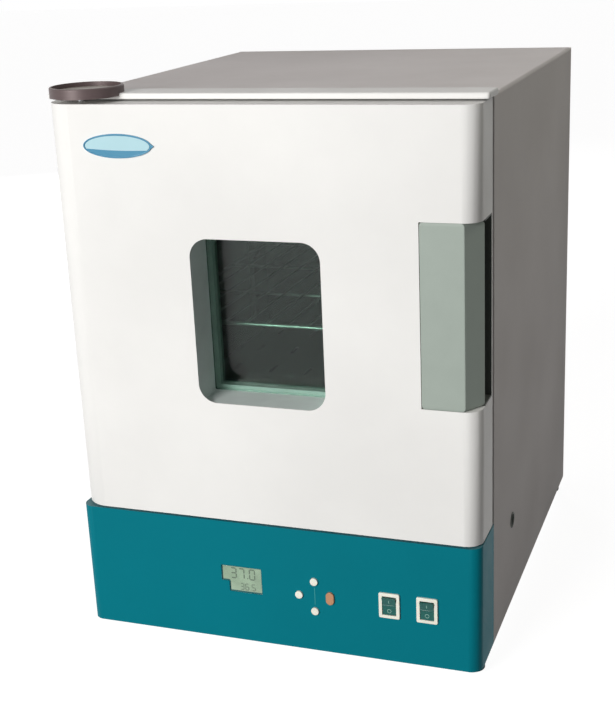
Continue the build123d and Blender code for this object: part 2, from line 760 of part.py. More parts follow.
def button(name):
    """Push button with a flange behind the panel and a stem to its switch."""
    x, z = button_place(name)
    cap = front_prism(button_outline(name, 0), FRONT_Y - BUTTON_OUT, PANEL_BACK + 1)
    cap = fillet(cap.faces().sort_by(Axis.Y)[0].edges(), 0.8)
    flange = button_outline(name, BUTTON_FLANGE)
    cap += front_prism(flange, PANEL_BACK + LIFT_CLEAR, PANEL_BACK + LIFT_CLEAR + 1.5)
    stem_end = BOARD_Y - TACT_H - BUTTON_TRAVEL - 0.1
    return cap + rod_y(x, z, PANEL_BACK + 1, stem_end, TACT_STEM_R)


def tact_switches():
    """Small push switches on the board, one behind each button."""
    result = []
    for name in BUTTON_NAMES:
        x, z = button_place(name)
        half = TACT_W / 2
        case = span(x - half, x + half, BOARD_Y - TACT_CASE, BOARD_Y, z - half, z + half)
        result.append(case + rod_y(x, z, BOARD_Y - TACT_H, BOARD_Y, TACT_STEM_R))
    return result


def control_board():
    """Circuit board on four posts behind the panel."""
    z0, z1 = BOARD_Z - BOARD_H / 2, BOARD_Z + BOARD_H / 2
    x0, x1 = BOARD_X - BOARD_W / 2, BOARD_X + BOARD_W / 2
    board = span(x0, x1, BOARD_Y, BOARD_Y + BOARD_T, z0, z1)
    for dx, dz in corners(BOARD_W / 2 - 5, BOARD_H / 2 - 5):
        board += rod_y(BOARD_X + dx, BOARD_Z + dz, PANEL_BACK, BOARD_Y + 1, 3.0)
    return board


def switch_housing(x):
    """Rocker switch case with its frame on the panel face."""
    frame = Pos(x, SWITCH_Z) * RectangleRounded(SWITCH_W, SWITCH_H, 2.0)
    inner_w = SWITCH_W - 2 * BEZEL_RIM
    inner_h = SWITCH_H - 2 * BEZEL_RIM
    case_w = inner_w + 2 * SWITCH_WALL
    case_h = inner_h + 2 * SWITCH_WALL
    case = front_prism(frame, FRONT_Y - BEZEL_T, FRONT_Y)
    case = fillet(case.faces().sort_by(Axis.Y)[0].edges(), 0.8)
    case += front_prism(Pos(x, SWITCH_Z) * Rectangle(case_w, case_h), FRONT_Y, FRONT_Y + SWITCH_DEPTH)
    hollow = Pos(x, SWITCH_Z) * Rectangle(inner_w, inner_h)
    case -= front_prism(hollow, FRONT_Y - 10, FRONT_Y + SWITCH_DEPTH - SWITCH_WALL)
    case -= rod_x(ROCKER_Y, SWITCH_Z, x - case_w / 2, x + case_w / 2, AXLE_R + PIN_CLEAR)
    tab_y = FRONT_Y + SWITCH_DEPTH
    for step in (-1, 0, 1):
        z = SWITCH_Z + step * TAB_STEP
        case += span(x - TAB_W / 2, x + TAB_W / 2, tab_y - 0.5, tab_y + TAB_L, z - TAB_T / 2, z + TAB_T / 2)
    return case


def rocker(x):
    """Rocker with a shallow V face, tilted so that its lower half is pressed in."""
    half_h = ROCKER_H / 2 - ROCKER_CLEAR
    rise = half_h * sin(radians(ROCKER_TILT))
    front = ROCKER_Y - ROCKER_FACE
    back = ROCKER_Y + ROCKER_BACK
    corner_y = front - rise
    outline = make_face(
        Polyline(
            (front, 0),
            (corner_y, half_h),
            (ROCKER_Y + 1.0, half_h - 0.4),
            (back, half_h / 3),
            (back, -half_h / 3),
            (ROCKER_Y + 1.0, -half_h + 0.4),
            (corner_y, -half_h),
            close=True,
        )
    )
    half_w = (SWITCH_W - 2 * BEZEL_RIM) / 2
    body = side_prism(outline, -half_w + 0.3, half_w - 0.3)
    axle_end = half_w + SWITCH_WALL
    body += rod_x(ROCKER_Y, 0, -axle_end, axle_end, AXLE_R)
    turned = Pos(0, ROCKER_Y, 0) * Rot(ROCKER_TILT, 0, 0) * Pos(0, -ROCKER_Y, 0) * body
    return Pos(x, 0, SWITCH_Z) * turned


# Electrical bay


def port_sleeve():
    """Flanged sleeve of the cable port in the right side."""
    x0 = HALF_W - PORT_L
    sleeve = rod_x(PORT_Y, PORT_Z, x0, HALF_W, PORT_R + PORT_WALL)
    sleeve += rod_x(PORT_Y, PORT_Z, HALF_W, HALF_W + PORT_FLANGE, PORT_R + 2 * PORT_WALL)
    return sleeve - rod_x(PORT_Y, PORT_Z, x0 - 5, HALF_W + 5, PORT_R)


def power_inlet():
    """Appliance inlet with its socket open to the back."""
    inner = Pos(INLET_X, INLET_Z) * RectangleRounded(INLET_W - 7, INLET_H - 8, INLET_R)
    flange = Pos(INLET_X, INLET_Z) * RectangleRounded(INLET_W, INLET_H, INLET_R)
    body = Pos(INLET_X, INLET_Z) * Rectangle(INLET_W - 4, INLET_H - 4)
    inlet = front_prism(body, BODY_D - INLET_DEPTH, BODY_D)
    inlet += front_prism(flange, BODY_D, BODY_D + INLET_RIM)
    inlet -= front_prism(inner, BODY_D - INLET_DEPTH + INLET_WALL, BODY_D + 10)
    for blade in inlet_blades():
        inlet -= blade
    return inlet


def inlet_blades():
    """Three contact blades of the inlet."""
    y0 = BODY_D - INLET_DEPTH - BLADE_TAIL
    y1 = BODY_D - BLADE_SUNK
    result = []
    for dx, dz in ((-BLADE_STEP, -BLADE_H / 2), (0.0, BLADE_H / 2), (BLADE_STEP, -BLADE_H / 2)):
        x, z = INLET_X + dx, INLET_Z + dz
        result.append(span(x - BLADE_T / 2, x + BLADE_T / 2, y0, y1, z - BLADE_H / 2, z + BLADE_H / 2))
    return result


def power_supply():
    """Closed supply unit on the base."""
    case = span(
        SUPPLY_X - SUPPLY_W / 2,
        SUPPLY_X + SUPPLY_W / 2,
        BAY_Y,
        BAY_Y + SUPPLY_D,
        BASE_TOP,
        BASE_TOP + SUPPLY_H,
    )
    return chamfer(case.edges().filter_by(Axis.Z), 2.0)


def heater_relay():
    """Solid state relay on its finned heat sink."""
    x0 = RELAY_X - RELAY_W / 2
    y1 = BAY_Y + RELAY_D
    sink_top = BASE_TOP + SINK_T
    fin_top = sink_top + FIN_H
    sink = span(x0, x0 + RELAY_W, BAY_Y, y1, BASE_TOP, sink_top)
    pitch = (RELAY_W - FIN_T) / (RELAY_FINS - 1)
    for i in range(RELAY_FINS):
        x = x0 + pitch * i
        sink += span(x, x + FIN_T, BAY_Y, y1, sink_top - 1, fin_top)
    half = RELAY_BLOCK / 2
    middle_y = BAY_Y + RELAY_D / 2
    top = fin_top + RELAY_BLOCK_H
    block = span(RELAY_X - half, RELAY_X + half, middle_y - half, middle_y + half, fin_top, top)
    return [sink, block]


def terminal_block():
    """Row of screw terminals."""
    x0 = TERMINAL_X - TERMINAL_W / 2
    y0 = BAY_Y + SUPPLY_D + 10
    top = BASE_TOP + TERMINAL_H
    block = span(x0, x0 + TERMINAL_W, y0, y0 + TERMINAL_D, BASE_TOP, top)
    pitch = TERMINAL_W / TERMINALS
    for i in range(TERMINALS):
        x = x0 + pitch * (i + 0.5)
        block -= rod_z(x, y0 + TERMINAL_D / 2, top - 8, top + 5, TERMINAL_R)
    return block


# Door


def door_outline(inset):
    """Plan of the door. Its left edge is an arc about the pivot, so it turns clear of the cabinet."""
    right = HALF_W - inset
    front = FRONT_Y + inset
    back = DOOR_BACK_Y
    main = rect(PIVOT_X, right, front, back)
    corner = main.vertices().group_by(Axis.X)[-1].sort_by(Axis.Y)[0]
    main = fillet(corner, DOOR_CORNER_R - inset)
    edge = Pos(PIVOT_X, PIVOT_Y) * Circle(DOOR_HINGE_R - inset)
    edge &= rect(-BODY_W, PIVOT_X, FRONT_Y - 5, back)
    return main + edge


def handle_cut(extra):
    """Block of the door that the handle takes, taller by a margin at each end."""
    return span(
        HANDLE_X0,
        HALF_W + 5,
        FRONT_Y - 5,
        POCKET_BACK,
        HANDLE_Z0 - extra,
        HANDLE_Z1 + extra,
    )


def bush_space():
    """Space of both bushes in the door."""
    low = rod_z(PIVOT_X, PIVOT_Y, DOOR_Z0 - 5, DOOR_Z0 + BUSH_L, BUSH_R)
    return low + rod_z(PIVOT_X, PIVOT_Y, DOOR_Z1 - BUSH_L, DOOR_Z1 + 5, BUSH_R)


def window_sketch(extra):
    """Square-cornered outline of the tube behind the window, grown by a margin."""
    w, h = WIN_W + 2 * extra, WIN_H + 2 * extra
    return Pos(WIN_X, WIN_Z) * RectangleRounded(w, h, max(WIN_TUBE_R + extra, WIN_TUBE_R / 2))


def door_skin():
    """Painted outer pan of the door."""
    pan = plan_prism(door_outline(0), DOOR_Z0, DOOR_Z1)
    pan -= plan_prism(door_outline(SHEET), DOOR_Z0 + SHEET, DOOR_Z1 - SHEET)
    pan -= span(-BODY_W, BODY_W, DOOR_BACK_Y - SHEET, 5, BASE_Z, TOP_Z + 5)
    mouth = Pos(WIN_X, WIN_Z) * RectangleRounded(WIN_W, WIN_H, WIN_R)
    pan -= front_prism(mouth, FRONT_Y - 5, 0)
    pan -= handle_cut(0)
    fold = door_outline(0) & rect(HANDLE_X0, HALF_W + 1, FRONT_Y - 1, POCKET_BACK)
    pan += plan_prism(fold, HANDLE_Z0 - SHEET, HANDLE_Z0)
    pan += plan_prism(fold, HANDLE_Z1, HANDLE_Z1 + SHEET)
    return pan - bush_space()


def door_liner():
    """Flat inner sheet of the door."""
    plate = plan_prism(door_outline(0), DOOR_Z0, DOOR_Z1)
    plate &= span(-BODY_W, BODY_W, DOOR_BACK_Y - SHEET, DOOR_BACK_Y, BASE_Z, TOP_Z)
    plate -= front_prism(window_sketch(0), FRONT_Y, 5)
    return plate - bush_space()


def door_insulation():
    """Foam core of the door."""
    core = plan_prism(door_outline(SHEET), DOOR_Z0 + SHEET, DOOR_Z1 - SHEET)
    core -= span(-BODY_W, BODY_W, DOOR_BACK_Y - SHEET, 5, BASE_Z, TOP_Z)
    core -= front_prism(window_sketch(WIN_WALL), FRONT_Y - 5, 5)
    core -= handle_cut(SHEET)
    return core - bush_space()


def window_frame():
    """Moulded tube that lines the window through the door."""
    back = DOOR_BACK_Y - SHEET
    tube = front_prism(window_sketch(WIN_WALL), FRONT_Y + SHEET, back)
    return tube - front_prism(window_sketch(0), FRONT_Y - 5, back + 5)


def window_glass(y0):
    """One pane, as large as the tube lets in."""
    return front_prism(window_sketch(-GLASS_CLEAR), y0, y0 + GLASS_T)


def window_spacer():
    """Spacer ring between the panes."""
    ring = window_sketch(-GLASS_CLEAR) - window_sketch(-SPACER_W)
    return front_prism(ring, GLASS_FRONT + GLASS_T, INNER_GLASS_BACK - GLASS_T)


def window_bead():
    """Bead that holds the panes from the chamber side."""
    ring = window_sketch(-GLASS_CLEAR) - window_sketch(-SPACER_W)
    return front_prism(ring, INNER_GLASS_BACK, DOOR_BACK_Y + 1.5)


def door_gasket():
    """Magnetic gasket round the chamber mouth."""
    w = CHAMBER_W + 2 * GASKET_OUT
    h = CHAMBER_H + 2 * GASKET_OUT
    middle = Pos(0, CHAMBER_Z + CHAMBER_H / 2)
    ring = middle * RectangleRounded(w, h, 12)
    ring -= middle * RectangleRounded(w - 2 * GASKET_W, h - 2 * GASKET_W, 4)
    return front_prism(ring, DOOR_BACK_Y, -GASKET_GAP)


def grip_inner():
    """Points of the back of the grip in plan, from the lip to the left end."""
    lip_y = FRONT_Y + GRIP_LIP
    lean = hypot(GRIP_FACET, GRIP_LIP) / GRIP_LIP
    shift = GRIP_T * lean
    heel_x = HALF_W - GRIP_FACET + GRIP_FACET * GRIP_T / GRIP_LIP - shift
    return [(HALF_W - shift, lip_y), (heel_x, FRONT_Y + GRIP_T), (HANDLE_X0, FRONT_Y + GRIP_T)]


def handle_grip():
    """Grip plate with a slanted facet that leads to the lip at the door's edge."""
    outer = [(HANDLE_X0, FRONT_Y), (HALF_W - GRIP_FACET, FRONT_Y), (HALF_W, FRONT_Y + GRIP_LIP)]
    plan = make_face(Polyline(*outer, *grip_inner(), close=True))
    grip = plan_prism(plan, HANDLE_Z0, HANDLE_Z1)
    for z in GRIP_POSTS:
        grip += rod_y(POST_X, z, FRONT_Y + GRIP_T - 1, POCKET_BACK - POCKET_WALL, POST_R)
        grip -= rod_y(POST_X, z, POCKET_BACK - GRIP_SCREW_L, POCKET_BACK, SCREW_R)
    return grip


def handle_pocket():
    """Moulded pocket behind the grip. It is open to the right for the fingers."""
    wall = POCKET_WALL
    front = FRONT_Y + GRIP_T
    pocket = span(HANDLE_X0, HALF_W, front, POCKET_BACK, HANDLE_Z0, HANDLE_Z1)
    pocket -= span(
        HANDLE_X0 + wall,
        HALF_W + 5,
        front - 5,
        POCKET_BACK - wall,
        HANDLE_Z0 + wall,
        HANDLE_Z1 - wall,
    )
    ahead = [(HANDLE_X0, FRONT_Y), (HALF_W + 1, FRONT_Y), (HALF_W + 1, FRONT_Y + GRIP_LIP)]
    space = make_face(Polyline(*ahead, *grip_inner(), close=True))
    pocket -= plan_prism(space, HANDLE_Z0 - 1, HANDLE_Z1 + 1)
    for z in GRIP_POSTS:
        pocket -= rod_y(POST_X, z, POCKET_BACK - 5, POCKET_BACK + 5, SCREW_R)
    return pocket


def handle_screws():
    """Screws from the back of the pocket into the grip posts."""
    return [rod_y(POST_X, z, POCKET_BACK - GRIP_SCREW_L, POCKET_BACK, SCREW_R) for z in GRIP_POSTS]


def hinge_bush(z0):
    """Plastic bush that turns on a pivot pin."""
    bush = rod_z(PIVOT_X, PIVOT_Y, z0, z0 + BUSH_L, BUSH_R)
    return bush - rod_z(PIVOT_X, PIVOT_Y, z0 - 1, z0 + BUSH_L + 1, PIN_R + PIN_CLEAR)


def badge_outline(inset):
    """Oval with a pointed right end, drawn in by a margin."""
    a, b = BADGE_W / 2 - inset, BADGE_H / 2 - inset
    oval = Pos(-BADGE_TIP, 0) * Ellipse(a - BADGE_TIP, b)
    tip_x, tip_z = a * BADGE_TIP_X, b * BADGE_TIP_Z
    tip = make_face(Polyline((tip_x, tip_z), (a, 0), (tip_x, -tip_z), close=True))
    return Pos(BADGE_X, BADGE_Z) * (oval + tip)


def badge_plate():
    """Plain plate with a raised rim."""
    plate = front_prism(badge_outline(0), FRONT_Y - BADGE_T, FRONT_Y)
    return plate - front_prism(badge_outline(BADGE_RIM), FRONT_Y - BADGE_T, FRONT_Y - BADGE_T / 2)


def build_all():
    """Every sub-part by its node name."""
    parts = {
        "cabinet_wrap": cabinet_wrap(),
        "front_frame": front_frame(),
        "base_plate": base_plate(),
        "rear_panel": rear_panel(),
        "rear_screws": rear_screws(),
        "feet": feet(),
        "foot_screws": foot_screws(),
        "bay_divider": bay_divider(),
        "chamber_liner": chamber_liner(),
        "chamber_insulation": insulation(),
        "floor_plate": floor_plate(),
        "heater_element": heater_element(),
        "shelf_rails": shelf_rails(),
        "temperature_probe": temperature_probe(),
        "lamp_socket": lamp_socket(),
        "lamp_lens": lamp_lens(),
        "top_visor": top_visor(),
        "visor_screws": visor_screws(),
        "hinge_cap": hinge_cap(),
        "upper_hinge_pin": upper_pin(),
        "lower_hinge_bracket": lower_bracket(),
        "lower_hinge_pin": lower_pin(),
        "bracket_screws": bracket_screws(),
        "control_fascia": control_fascia(),
        "display_window": display_window(),
        "display_module": display_module(),
        "tact_switches": tact_switches(),
        "control_board": control_board(),
        "port_sleeve": port_sleeve(),
        "power_inlet": power_inlet(),
        "inlet_blades": inlet_blades(),
        "power_supply": power_supply(),
        "heater_relay": heater_relay(),
        "terminal_block": terminal_block(),
        "door_skin": door_skin(),
        "door_liner": door_liner(),
        "door_insulation": door_insulation(),
        "window_frame": window_frame(),
        "window_glass_outer": window_glass(GLASS_FRONT),
        "window_glass_inner": window_glass(INNER_GLASS_BACK - GLASS_T),
        "window_spacer": window_spacer(),
        "window_bead": window_bead(),
        "door_gasket": door_gasket(),
        "handle_grip": handle_grip(),
        "handle_pocket": handle_pocket(),
        "handle_screws": handle_screws(),
        "door_bush_upper": hinge_bush(DOOR_Z1 - BUSH_L),
        "door_bush_lower": hinge_bush(DOOR_Z0),
        "badge_plate": badge_plate(),
    }
    for place, z in zip(("lower", "upper"), SHELF_Z):
        parts[f"wire_shelf_{place}"] = wire_shelf(z)
    for place, x in zip(("power", "lamp"), SWITCH_X):
        parts[f"switch_housing_{place}"] = switch_housing(x)
        parts[f"rocker_{place}"] = rocker(x)
    for name in BUTTON_NAMES:
        parts[f"button_{name}"] = button(name)
    return parts


def write_parts(parts):
    """One file for each sub-part, with the origin below the middle of the whole."""
    os.makedirs("parts", exist_ok=True)
    to_origin = Pos(0, -MIDDLE_Y, 0)
    for name, shape in parts.items():
        solids = shape if isinstance(shape, list) else [shape]
        moved = [to_origin * solid for solid in solids]
        export_step(moved[0] if len(moved) == 1 else Compound(children=moved), f"parts/{name}.step")


write_parts(build_all())
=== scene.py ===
"""Looks of a bench incubator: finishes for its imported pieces, fine pieces over them, and the studio."""

import logging
import math
from dataclasses import dataclass, field
from enum import Enum
from typing import Any, Callable, Sequence

import bmesh
import bpy
from mathutils import Matrix, Vector


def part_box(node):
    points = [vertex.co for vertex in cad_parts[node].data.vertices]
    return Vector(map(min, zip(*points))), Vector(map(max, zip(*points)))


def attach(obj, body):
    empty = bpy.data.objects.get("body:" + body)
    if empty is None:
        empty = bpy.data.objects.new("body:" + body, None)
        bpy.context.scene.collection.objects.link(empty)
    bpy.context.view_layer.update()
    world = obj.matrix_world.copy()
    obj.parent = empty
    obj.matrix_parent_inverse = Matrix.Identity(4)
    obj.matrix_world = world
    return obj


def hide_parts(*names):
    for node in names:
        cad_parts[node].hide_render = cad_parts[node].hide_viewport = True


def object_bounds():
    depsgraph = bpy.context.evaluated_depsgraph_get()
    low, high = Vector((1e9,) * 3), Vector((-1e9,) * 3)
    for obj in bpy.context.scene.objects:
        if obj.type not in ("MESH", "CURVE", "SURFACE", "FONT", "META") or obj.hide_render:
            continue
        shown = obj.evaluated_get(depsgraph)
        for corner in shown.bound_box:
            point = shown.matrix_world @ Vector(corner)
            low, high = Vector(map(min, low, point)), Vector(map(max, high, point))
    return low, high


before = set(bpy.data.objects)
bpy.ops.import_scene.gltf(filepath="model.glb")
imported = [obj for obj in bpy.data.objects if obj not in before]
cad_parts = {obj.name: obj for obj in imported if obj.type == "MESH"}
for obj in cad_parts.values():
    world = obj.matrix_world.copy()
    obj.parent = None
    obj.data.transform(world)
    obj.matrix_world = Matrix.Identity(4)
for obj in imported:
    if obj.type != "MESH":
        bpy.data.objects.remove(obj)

CAD_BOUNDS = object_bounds()
LOG = logging.getLogger("incubator")
MM = 0.001
Colour = tuple[float, float, float, float]


def srgb(red: int, green: int, blue: int) -> Colour:
    """Turns a screen colour into the linear colour that shaders take.

    Args:
        red: red from 0 to 255.
        green: green from 0 to 255.
        blue: blue from 0 to 255.

    Returns:
        Linear red, green, blue and full alpha.
    """
    def linear(level: int) -> float:
        """Linear value of one channel."""
        share = level / 255
        return share / 12.92 if share <= 0.04045 else ((share + 0.055) / 1.055) ** 2.4

    return (linear(red), linear(green), linear(blue), 1.0)


def grey(level: float) -> Colour:
    """A neutral linear colour."""
    return (level, level, level, 1.0)


class Slot(Enum):
    """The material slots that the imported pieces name."""

    DOOR_PAINT = "door_paint"
    CABINET_PAINT = "cabinet_paint"
    PANEL_TEAL = "panel_teal"
    STAINLESS = "stainless"
    ZINC_STEEL = "zinc_steel"
    BRIGHT_STEEL = "bright_steel"
    BLACK_RUBBER = "black_rubber"
    GREY_RUBBER = "grey_rubber"
    GRIP_PLASTIC = "grip_plastic"
    DARK_PLASTIC = "dark_plastic"
    FRAME_PLASTIC = "frame_plastic"
    CREAM_PLASTIC = "cream_plastic"
    ORANGE_PLASTIC = "orange_plastic"
    GREEN_LENS = "green_lens"
    CAP_BRONZE = "cap_bronze"
    CLEAR_GLASS = "clear_glass"
    LENS_GLASS = "lens_glass"
    DISPLAY_FACE = "display_face"
    DISPLAY_LCD = "display_lcd"
    CIRCUIT_BOARD = "circuit_board"
    WOOL = "wool"
    FOAM = "foam"
    BADGE_BLUE = "badge_blue"
    BRASS_BLADE = "brass_blade"
    BUSH_PLASTIC = "bush_plastic"
    HEAT_SINK = "heat_sink"


class Body(Enum):
    """The bodies that the pieces ride on."""

    CABINET = "cabinet"
    DOOR = "door"
    ROCKER_POWER = "rocker_power"
    ROCKER_LAMP = "rocker_lamp"


class Facing(Enum):
    """Which way the front of a small piece looks."""

    FRONT = (0.0, -1.0, 0.0)
    BACK = (0.0, 1.0, 0.0)
    UP = (0.0, 0.0, 1.0)
    DOWN = (0.0, 0.0, -1.0)

    def turn(self) -> Matrix:
        """The rotation that takes +Z to this direction."""
        return Vector((0, 0, 1)).rotation_difference(Vector(self.value)).to_matrix().to_4x4()


class Wiring:
    """A node tree while its nodes are being placed and joined."""

    def __init__(self, tree: bpy.types.NodeTree) -> None:
        """Keeps the tree.

        Args:
            tree: the node tree to fill.
        """
        self.tree = tree

    def node(self, kind: str, feeds: dict[Any, Any] | None = None, **settings: Any) -> bpy.types.Node:
        """Adds a node.

        Args:
            kind: the node's type name.
            feeds: values or output sockets by input name or number.
            settings: attributes of the node.

        Returns:
            The new node.
        """
        made = self.tree.nodes.new(kind)
        for name, value in settings.items():
            setattr(made, name, value)
        for key, value in (feeds or {}).items():
            self.feed(made.inputs[key], value)
        return made

    def feed(self, socket: bpy.types.NodeSocket, value: Any) -> None:
        """Links an output to a socket, or sets the socket's value.

        Args:
            socket: the input.
            value: an output socket or a plain value.
        """
        if isinstance(value, bpy.types.NodeSocket):
            self.tree.links.new(value, socket)
        else:
            socket.default_value = value

    def calc(self, operation: str, first: Any, second: Any = 0.0) -> bpy.types.NodeSocket:
        """Result of a math node.

        Args:
            operation: the node's operation.
            first: first operand.
            second: second operand.

        Returns:
            The output socket.
        """
        return self.node("ShaderNodeMath", {0: first, 1: second}, operation=operation).outputs[0]

    def blend(self, share: Any, low: Any, high: Any, mode: str = "MIX") -> bpy.types.NodeSocket:
        """Mix of two colours.

        Args:
            share: how much of the second colour shows.
            low: first colour.
            high: second colour.
            mode: how they are mixed.

        Returns:
            The colour socket.
        """
        feeds = {0: share, 6: low, 7: high}
        return self.node("ShaderNodeMix", feeds, data_type="RGBA", blend_type=mode).outputs[2]

    def spread(self, value: Any, low: float, high: float, to_low: float, to_high: float) -> bpy.types.NodeSocket:
        """Maps a value from one range to another, with clamping.

        Args:
            value: the value to map.
            low: start of its range.
            high: end of its range.
            to_low: result at the start.
            to_high: result at the end.

        Returns:
            The mapped value.
        """
        feeds = {0: value, 1: low, 2: high, 3: to_low, 4: to_high}
        return self.node("ShaderNodeMapRange", feeds).outputs[0]

    def noise(self, vector: Any, scale: Any, detail: float = 3.0, roughness: float = 0.5) -> bpy.types.NodeSocket:
        """Value of a noise texture.

        Args:
            vector: where it is read.
            scale: how fine it is, per metre.
            detail: its octaves.
            roughness: weight of the finer octaves.

        Returns:
            The value, from 0 to 1.
        """
        feeds = {"Vector": vector, "Scale": scale, "Detail": detail, "Roughness": roughness}
        return self.node("ShaderNodeTexNoise", feeds).outputs[0]

    def place(self) -> bpy.types.NodeSocket:
        """The point on the piece, in metres."""
        return self.node("ShaderNodeTexCoord").outputs["Object"]

    def looked_at(self) -> bpy.types.NodeSocket:
        """1 for what the camera sees, also in a mirror or through glass, and 0 for other rays."""
        rays = self.node("ShaderNodeLightPath").outputs
        seen = self.calc("MAXIMUM", rays["Is Camera Ray"], rays["Is Transmission Ray"])
        return self.calc("MAXIMUM", seen, rays["Is Glossy Ray"])


class Effect(Enum):
    """The shared surface effects. Each is a node group that is built once."""

    PEEL = "paint_orange_peel"
    WEAR = "edge_wear"
    DUST = "settled_dust"
    BRUSHED = "brushed_lines"
    GRAIN = "moulded_grain"
    SMEAR = "wiped_smears"
    RINGS = "turned_rings"
    MOTTLE = "slow_mottle"

    def group(self) -> bpy.types.NodeTree:
        """The effect's node group, built the first time that it is asked for."""
        found = bpy.data.node_groups.get(self.value)
        return found if found else EFFECT_BUILDERS[self](self.value)


def open_group(name: str, takes: Sequence[tuple[str, str, Any]], gives: Sequence[str]) -> tuple[Wiring, Any, Any]:
    """Starts a node group.

    Args:
        name: the group's name.
        takes: each input's name, kind and value.
        gives: the outputs' names, all single values.

    Returns:
        The wiring, the input node's outputs and the output node's inputs.
    """
    tree = bpy.data.node_groups.new(name, "ShaderNodeTree")
    for label, kind, value in takes:
        socket = tree.interface.new_socket(label, in_out="INPUT", socket_type=kind)
        socket.default_value = value
    for label in gives:
        tree.interface.new_socket(label, in_out="OUTPUT", socket_type="NodeSocketFloat")
    wiring = Wiring(tree)
    return wiring, wiring.node("NodeGroupInput").outputs, wiring.node("NodeGroupOutput").inputs


def build_peel(name: str) -> bpy.types.NodeTree:
    """Orange peel of sprayed and baked paint.

    Args:
        name: the group's name.

    Returns:
        The group, with inputs Scale and outputs Height and Gloss.
    """
    wiring, takes, gives = open_group(name, [("Scale", "NodeSocketFloat", 420.0)], ["Height", "Gloss"])
    place = wiring.place()
    broad = wiring.noise(place, takes["Scale"], 1.5, 0.45)
    fine = wiring.noise(place, wiring.calc("MULTIPLY", takes["Scale"], 3.7), 2.0)
    wiring.feed(gives["Height"], wiring.calc("ADD", broad, wiring.calc("MULTIPLY", fine, 0.25)))
    wiring.feed(gives["Gloss"], wiring.noise(place, 9.0, 4.0, 0.6))
    return wiring.tree


def build_wear(name: str) -> bpy.types.NodeTree:
    """Rubbed and chipped edges, found from how a rounded normal leans away from the true one.

    Args:
        name: the group's name.

    Returns:
        The group, with inputs Radius and Amount and output Mask.
    """
    takes_list = [("Radius", "NodeSocketFloat", 0.0012), ("Amount", "NodeSocketFloat", 0.5)]
    wiring, takes, gives = open_group(name, takes_list, ["Mask"])
    rounded = wiring.node("ShaderNodeBevel", {"Radius": takes["Radius"]}, samples=4).outputs[0]
    true = wiring.node("ShaderNodeNewGeometry").outputs["Normal"]
    lean = wiring.node("ShaderNodeVectorMath", {0: rounded, 1: true}, operation="DOT_PRODUCT").outputs["Value"]
    edge = wiring.spread(lean, 0.97, 0.80, 0.0, 1.0)
    patches = wiring.spread(wiring.noise(wiring.place(), 46.0, 6.0, 0.7), 0.50, 0.66, 0.0, 1.0)
    mask = wiring.calc("MULTIPLY", edge, patches)
    wiring.feed(gives["Mask"], wiring.calc("MULTIPLY", mask, takes["Amount"]))
    return wiring.tree


def build_dust(name: str) -> bpy.types.NodeTree:
    """Fine dust that lies on faces that look up.

    Args:
        name: the group's name.

    Returns:
        The group, with input Amount and output Mask.
    """
    wiring, takes, gives = open_group(name, [("Amount", "NodeSocketFloat", 0.3)], ["Mask"])
    normal = wiring.node("ShaderNodeNewGeometry").outputs["Normal"]
    up = wiring.node("ShaderNodeSeparateXYZ", {0: normal}).outputs[2]
    lying = wiring.spread(up, 0.55, 0.98, 0.0, 1.0)
    place = wiring.place()
    cloud = wiring.spread(wiring.noise(place, 6.5, 5.0, 0.62), 0.36, 0.72, 0.15, 1.0)
    specks = wiring.spread(wiring.noise(place, 900.0, 2.0, 0.7), 0.60, 0.72, 0.0, 0.6)
    mask = wiring.calc("MULTIPLY", wiring.calc("MAXIMUM", cloud, specks), lying)
    wiring.feed(gives["Mask"], wiring.calc("MULTIPLY", mask, takes["Amount"]))
    return wiring.tree


def build_brushed(name: str) -> bpy.types.NodeTree:
    """Fine parallel lines of brushed or rolled metal.

    Args:
        name: the group's name.

    Returns:
        The group, with input Stretch and outputs Height and Shade.
    """
    takes_list = [("Stretch", "NodeSocketVector", (12.0, 900.0, 900.0))]
    wiring, takes, gives = open_group(name, takes_list, ["Height", "Shade"])
    scaled = wiring.node("ShaderNodeVectorMath", {0: wiring.place(), 1: takes["Stretch"]}, operation="MULTIPLY")
    lines = wiring.noise(scaled.outputs[0], 1.0, 4.0, 0.62)
    wiring.feed(gives["Height"], lines)
    wiring.feed(gives["Shade"], wiring.spread(lines, 0.3, 0.7, 0.0, 1.0))
    return wiring.tree


def build_grain(name: str) -> bpy.types.NodeTree:
    """Spark-eroded grain of a mould, with slow tone changes.

    Args:
        name: the group's name.

    Returns:
        The group, with input Scale and outputs Height and Shade.
    """
    wiring, takes, gives = open_group(name, [("Scale", "NodeSocketFloat", 1500.0)], ["Height", "Shade"])
    place = wiring.place()
    cells = wiring.node("ShaderNodeTexVoronoi", {"Vector": place, "Scale": takes["Scale"]}, feature="SMOOTH_F1")
    fine = wiring.noise(place, takes["Scale"], 3.0, 0.6)
    wiring.feed(gives["Height"], wiring.calc("ADD", wiring.calc("MULTIPLY", cells.outputs[0], 0.6), fine))
    wiring.feed(gives["Shade"], wiring.noise(place, 38.0, 5.0, 0.6))
    return wiring.tree


def build_smear(name: str) -> bpy.types.NodeTree:
    """Traces that a wiping cloth leaves on glass and gloss paint.

    Args:
        name: the group's name.

    Returns:
        The group, with output Mask.
    """
    wiring, takes, gives = open_group(name, [("Scale", "NodeSocketFloat", 14.0)], ["Mask"])
    place = wiring.place()
    bent = wiring.node("ShaderNodeTexNoise", {"Vector": place, "Scale": 5.0, "Detail": 2.0}).outputs[1]
    moved = wiring.node("ShaderNodeVectorMath", {0: place, 1: bent}, operation="ADD").outputs[0]
    stretched = wiring.node("ShaderNodeVectorMath", {0: moved, 1: (1.0, 1.0, 4.0)}, operation="MULTIPLY").outputs[0]
    traces = wiring.noise(stretched, takes["Scale"], 6.0, 0.66)
    wiring.feed(gives["Mask"], wiring.spread(traces, 0.48, 0.78, 0.0, 1.0))
    return wiring.tree


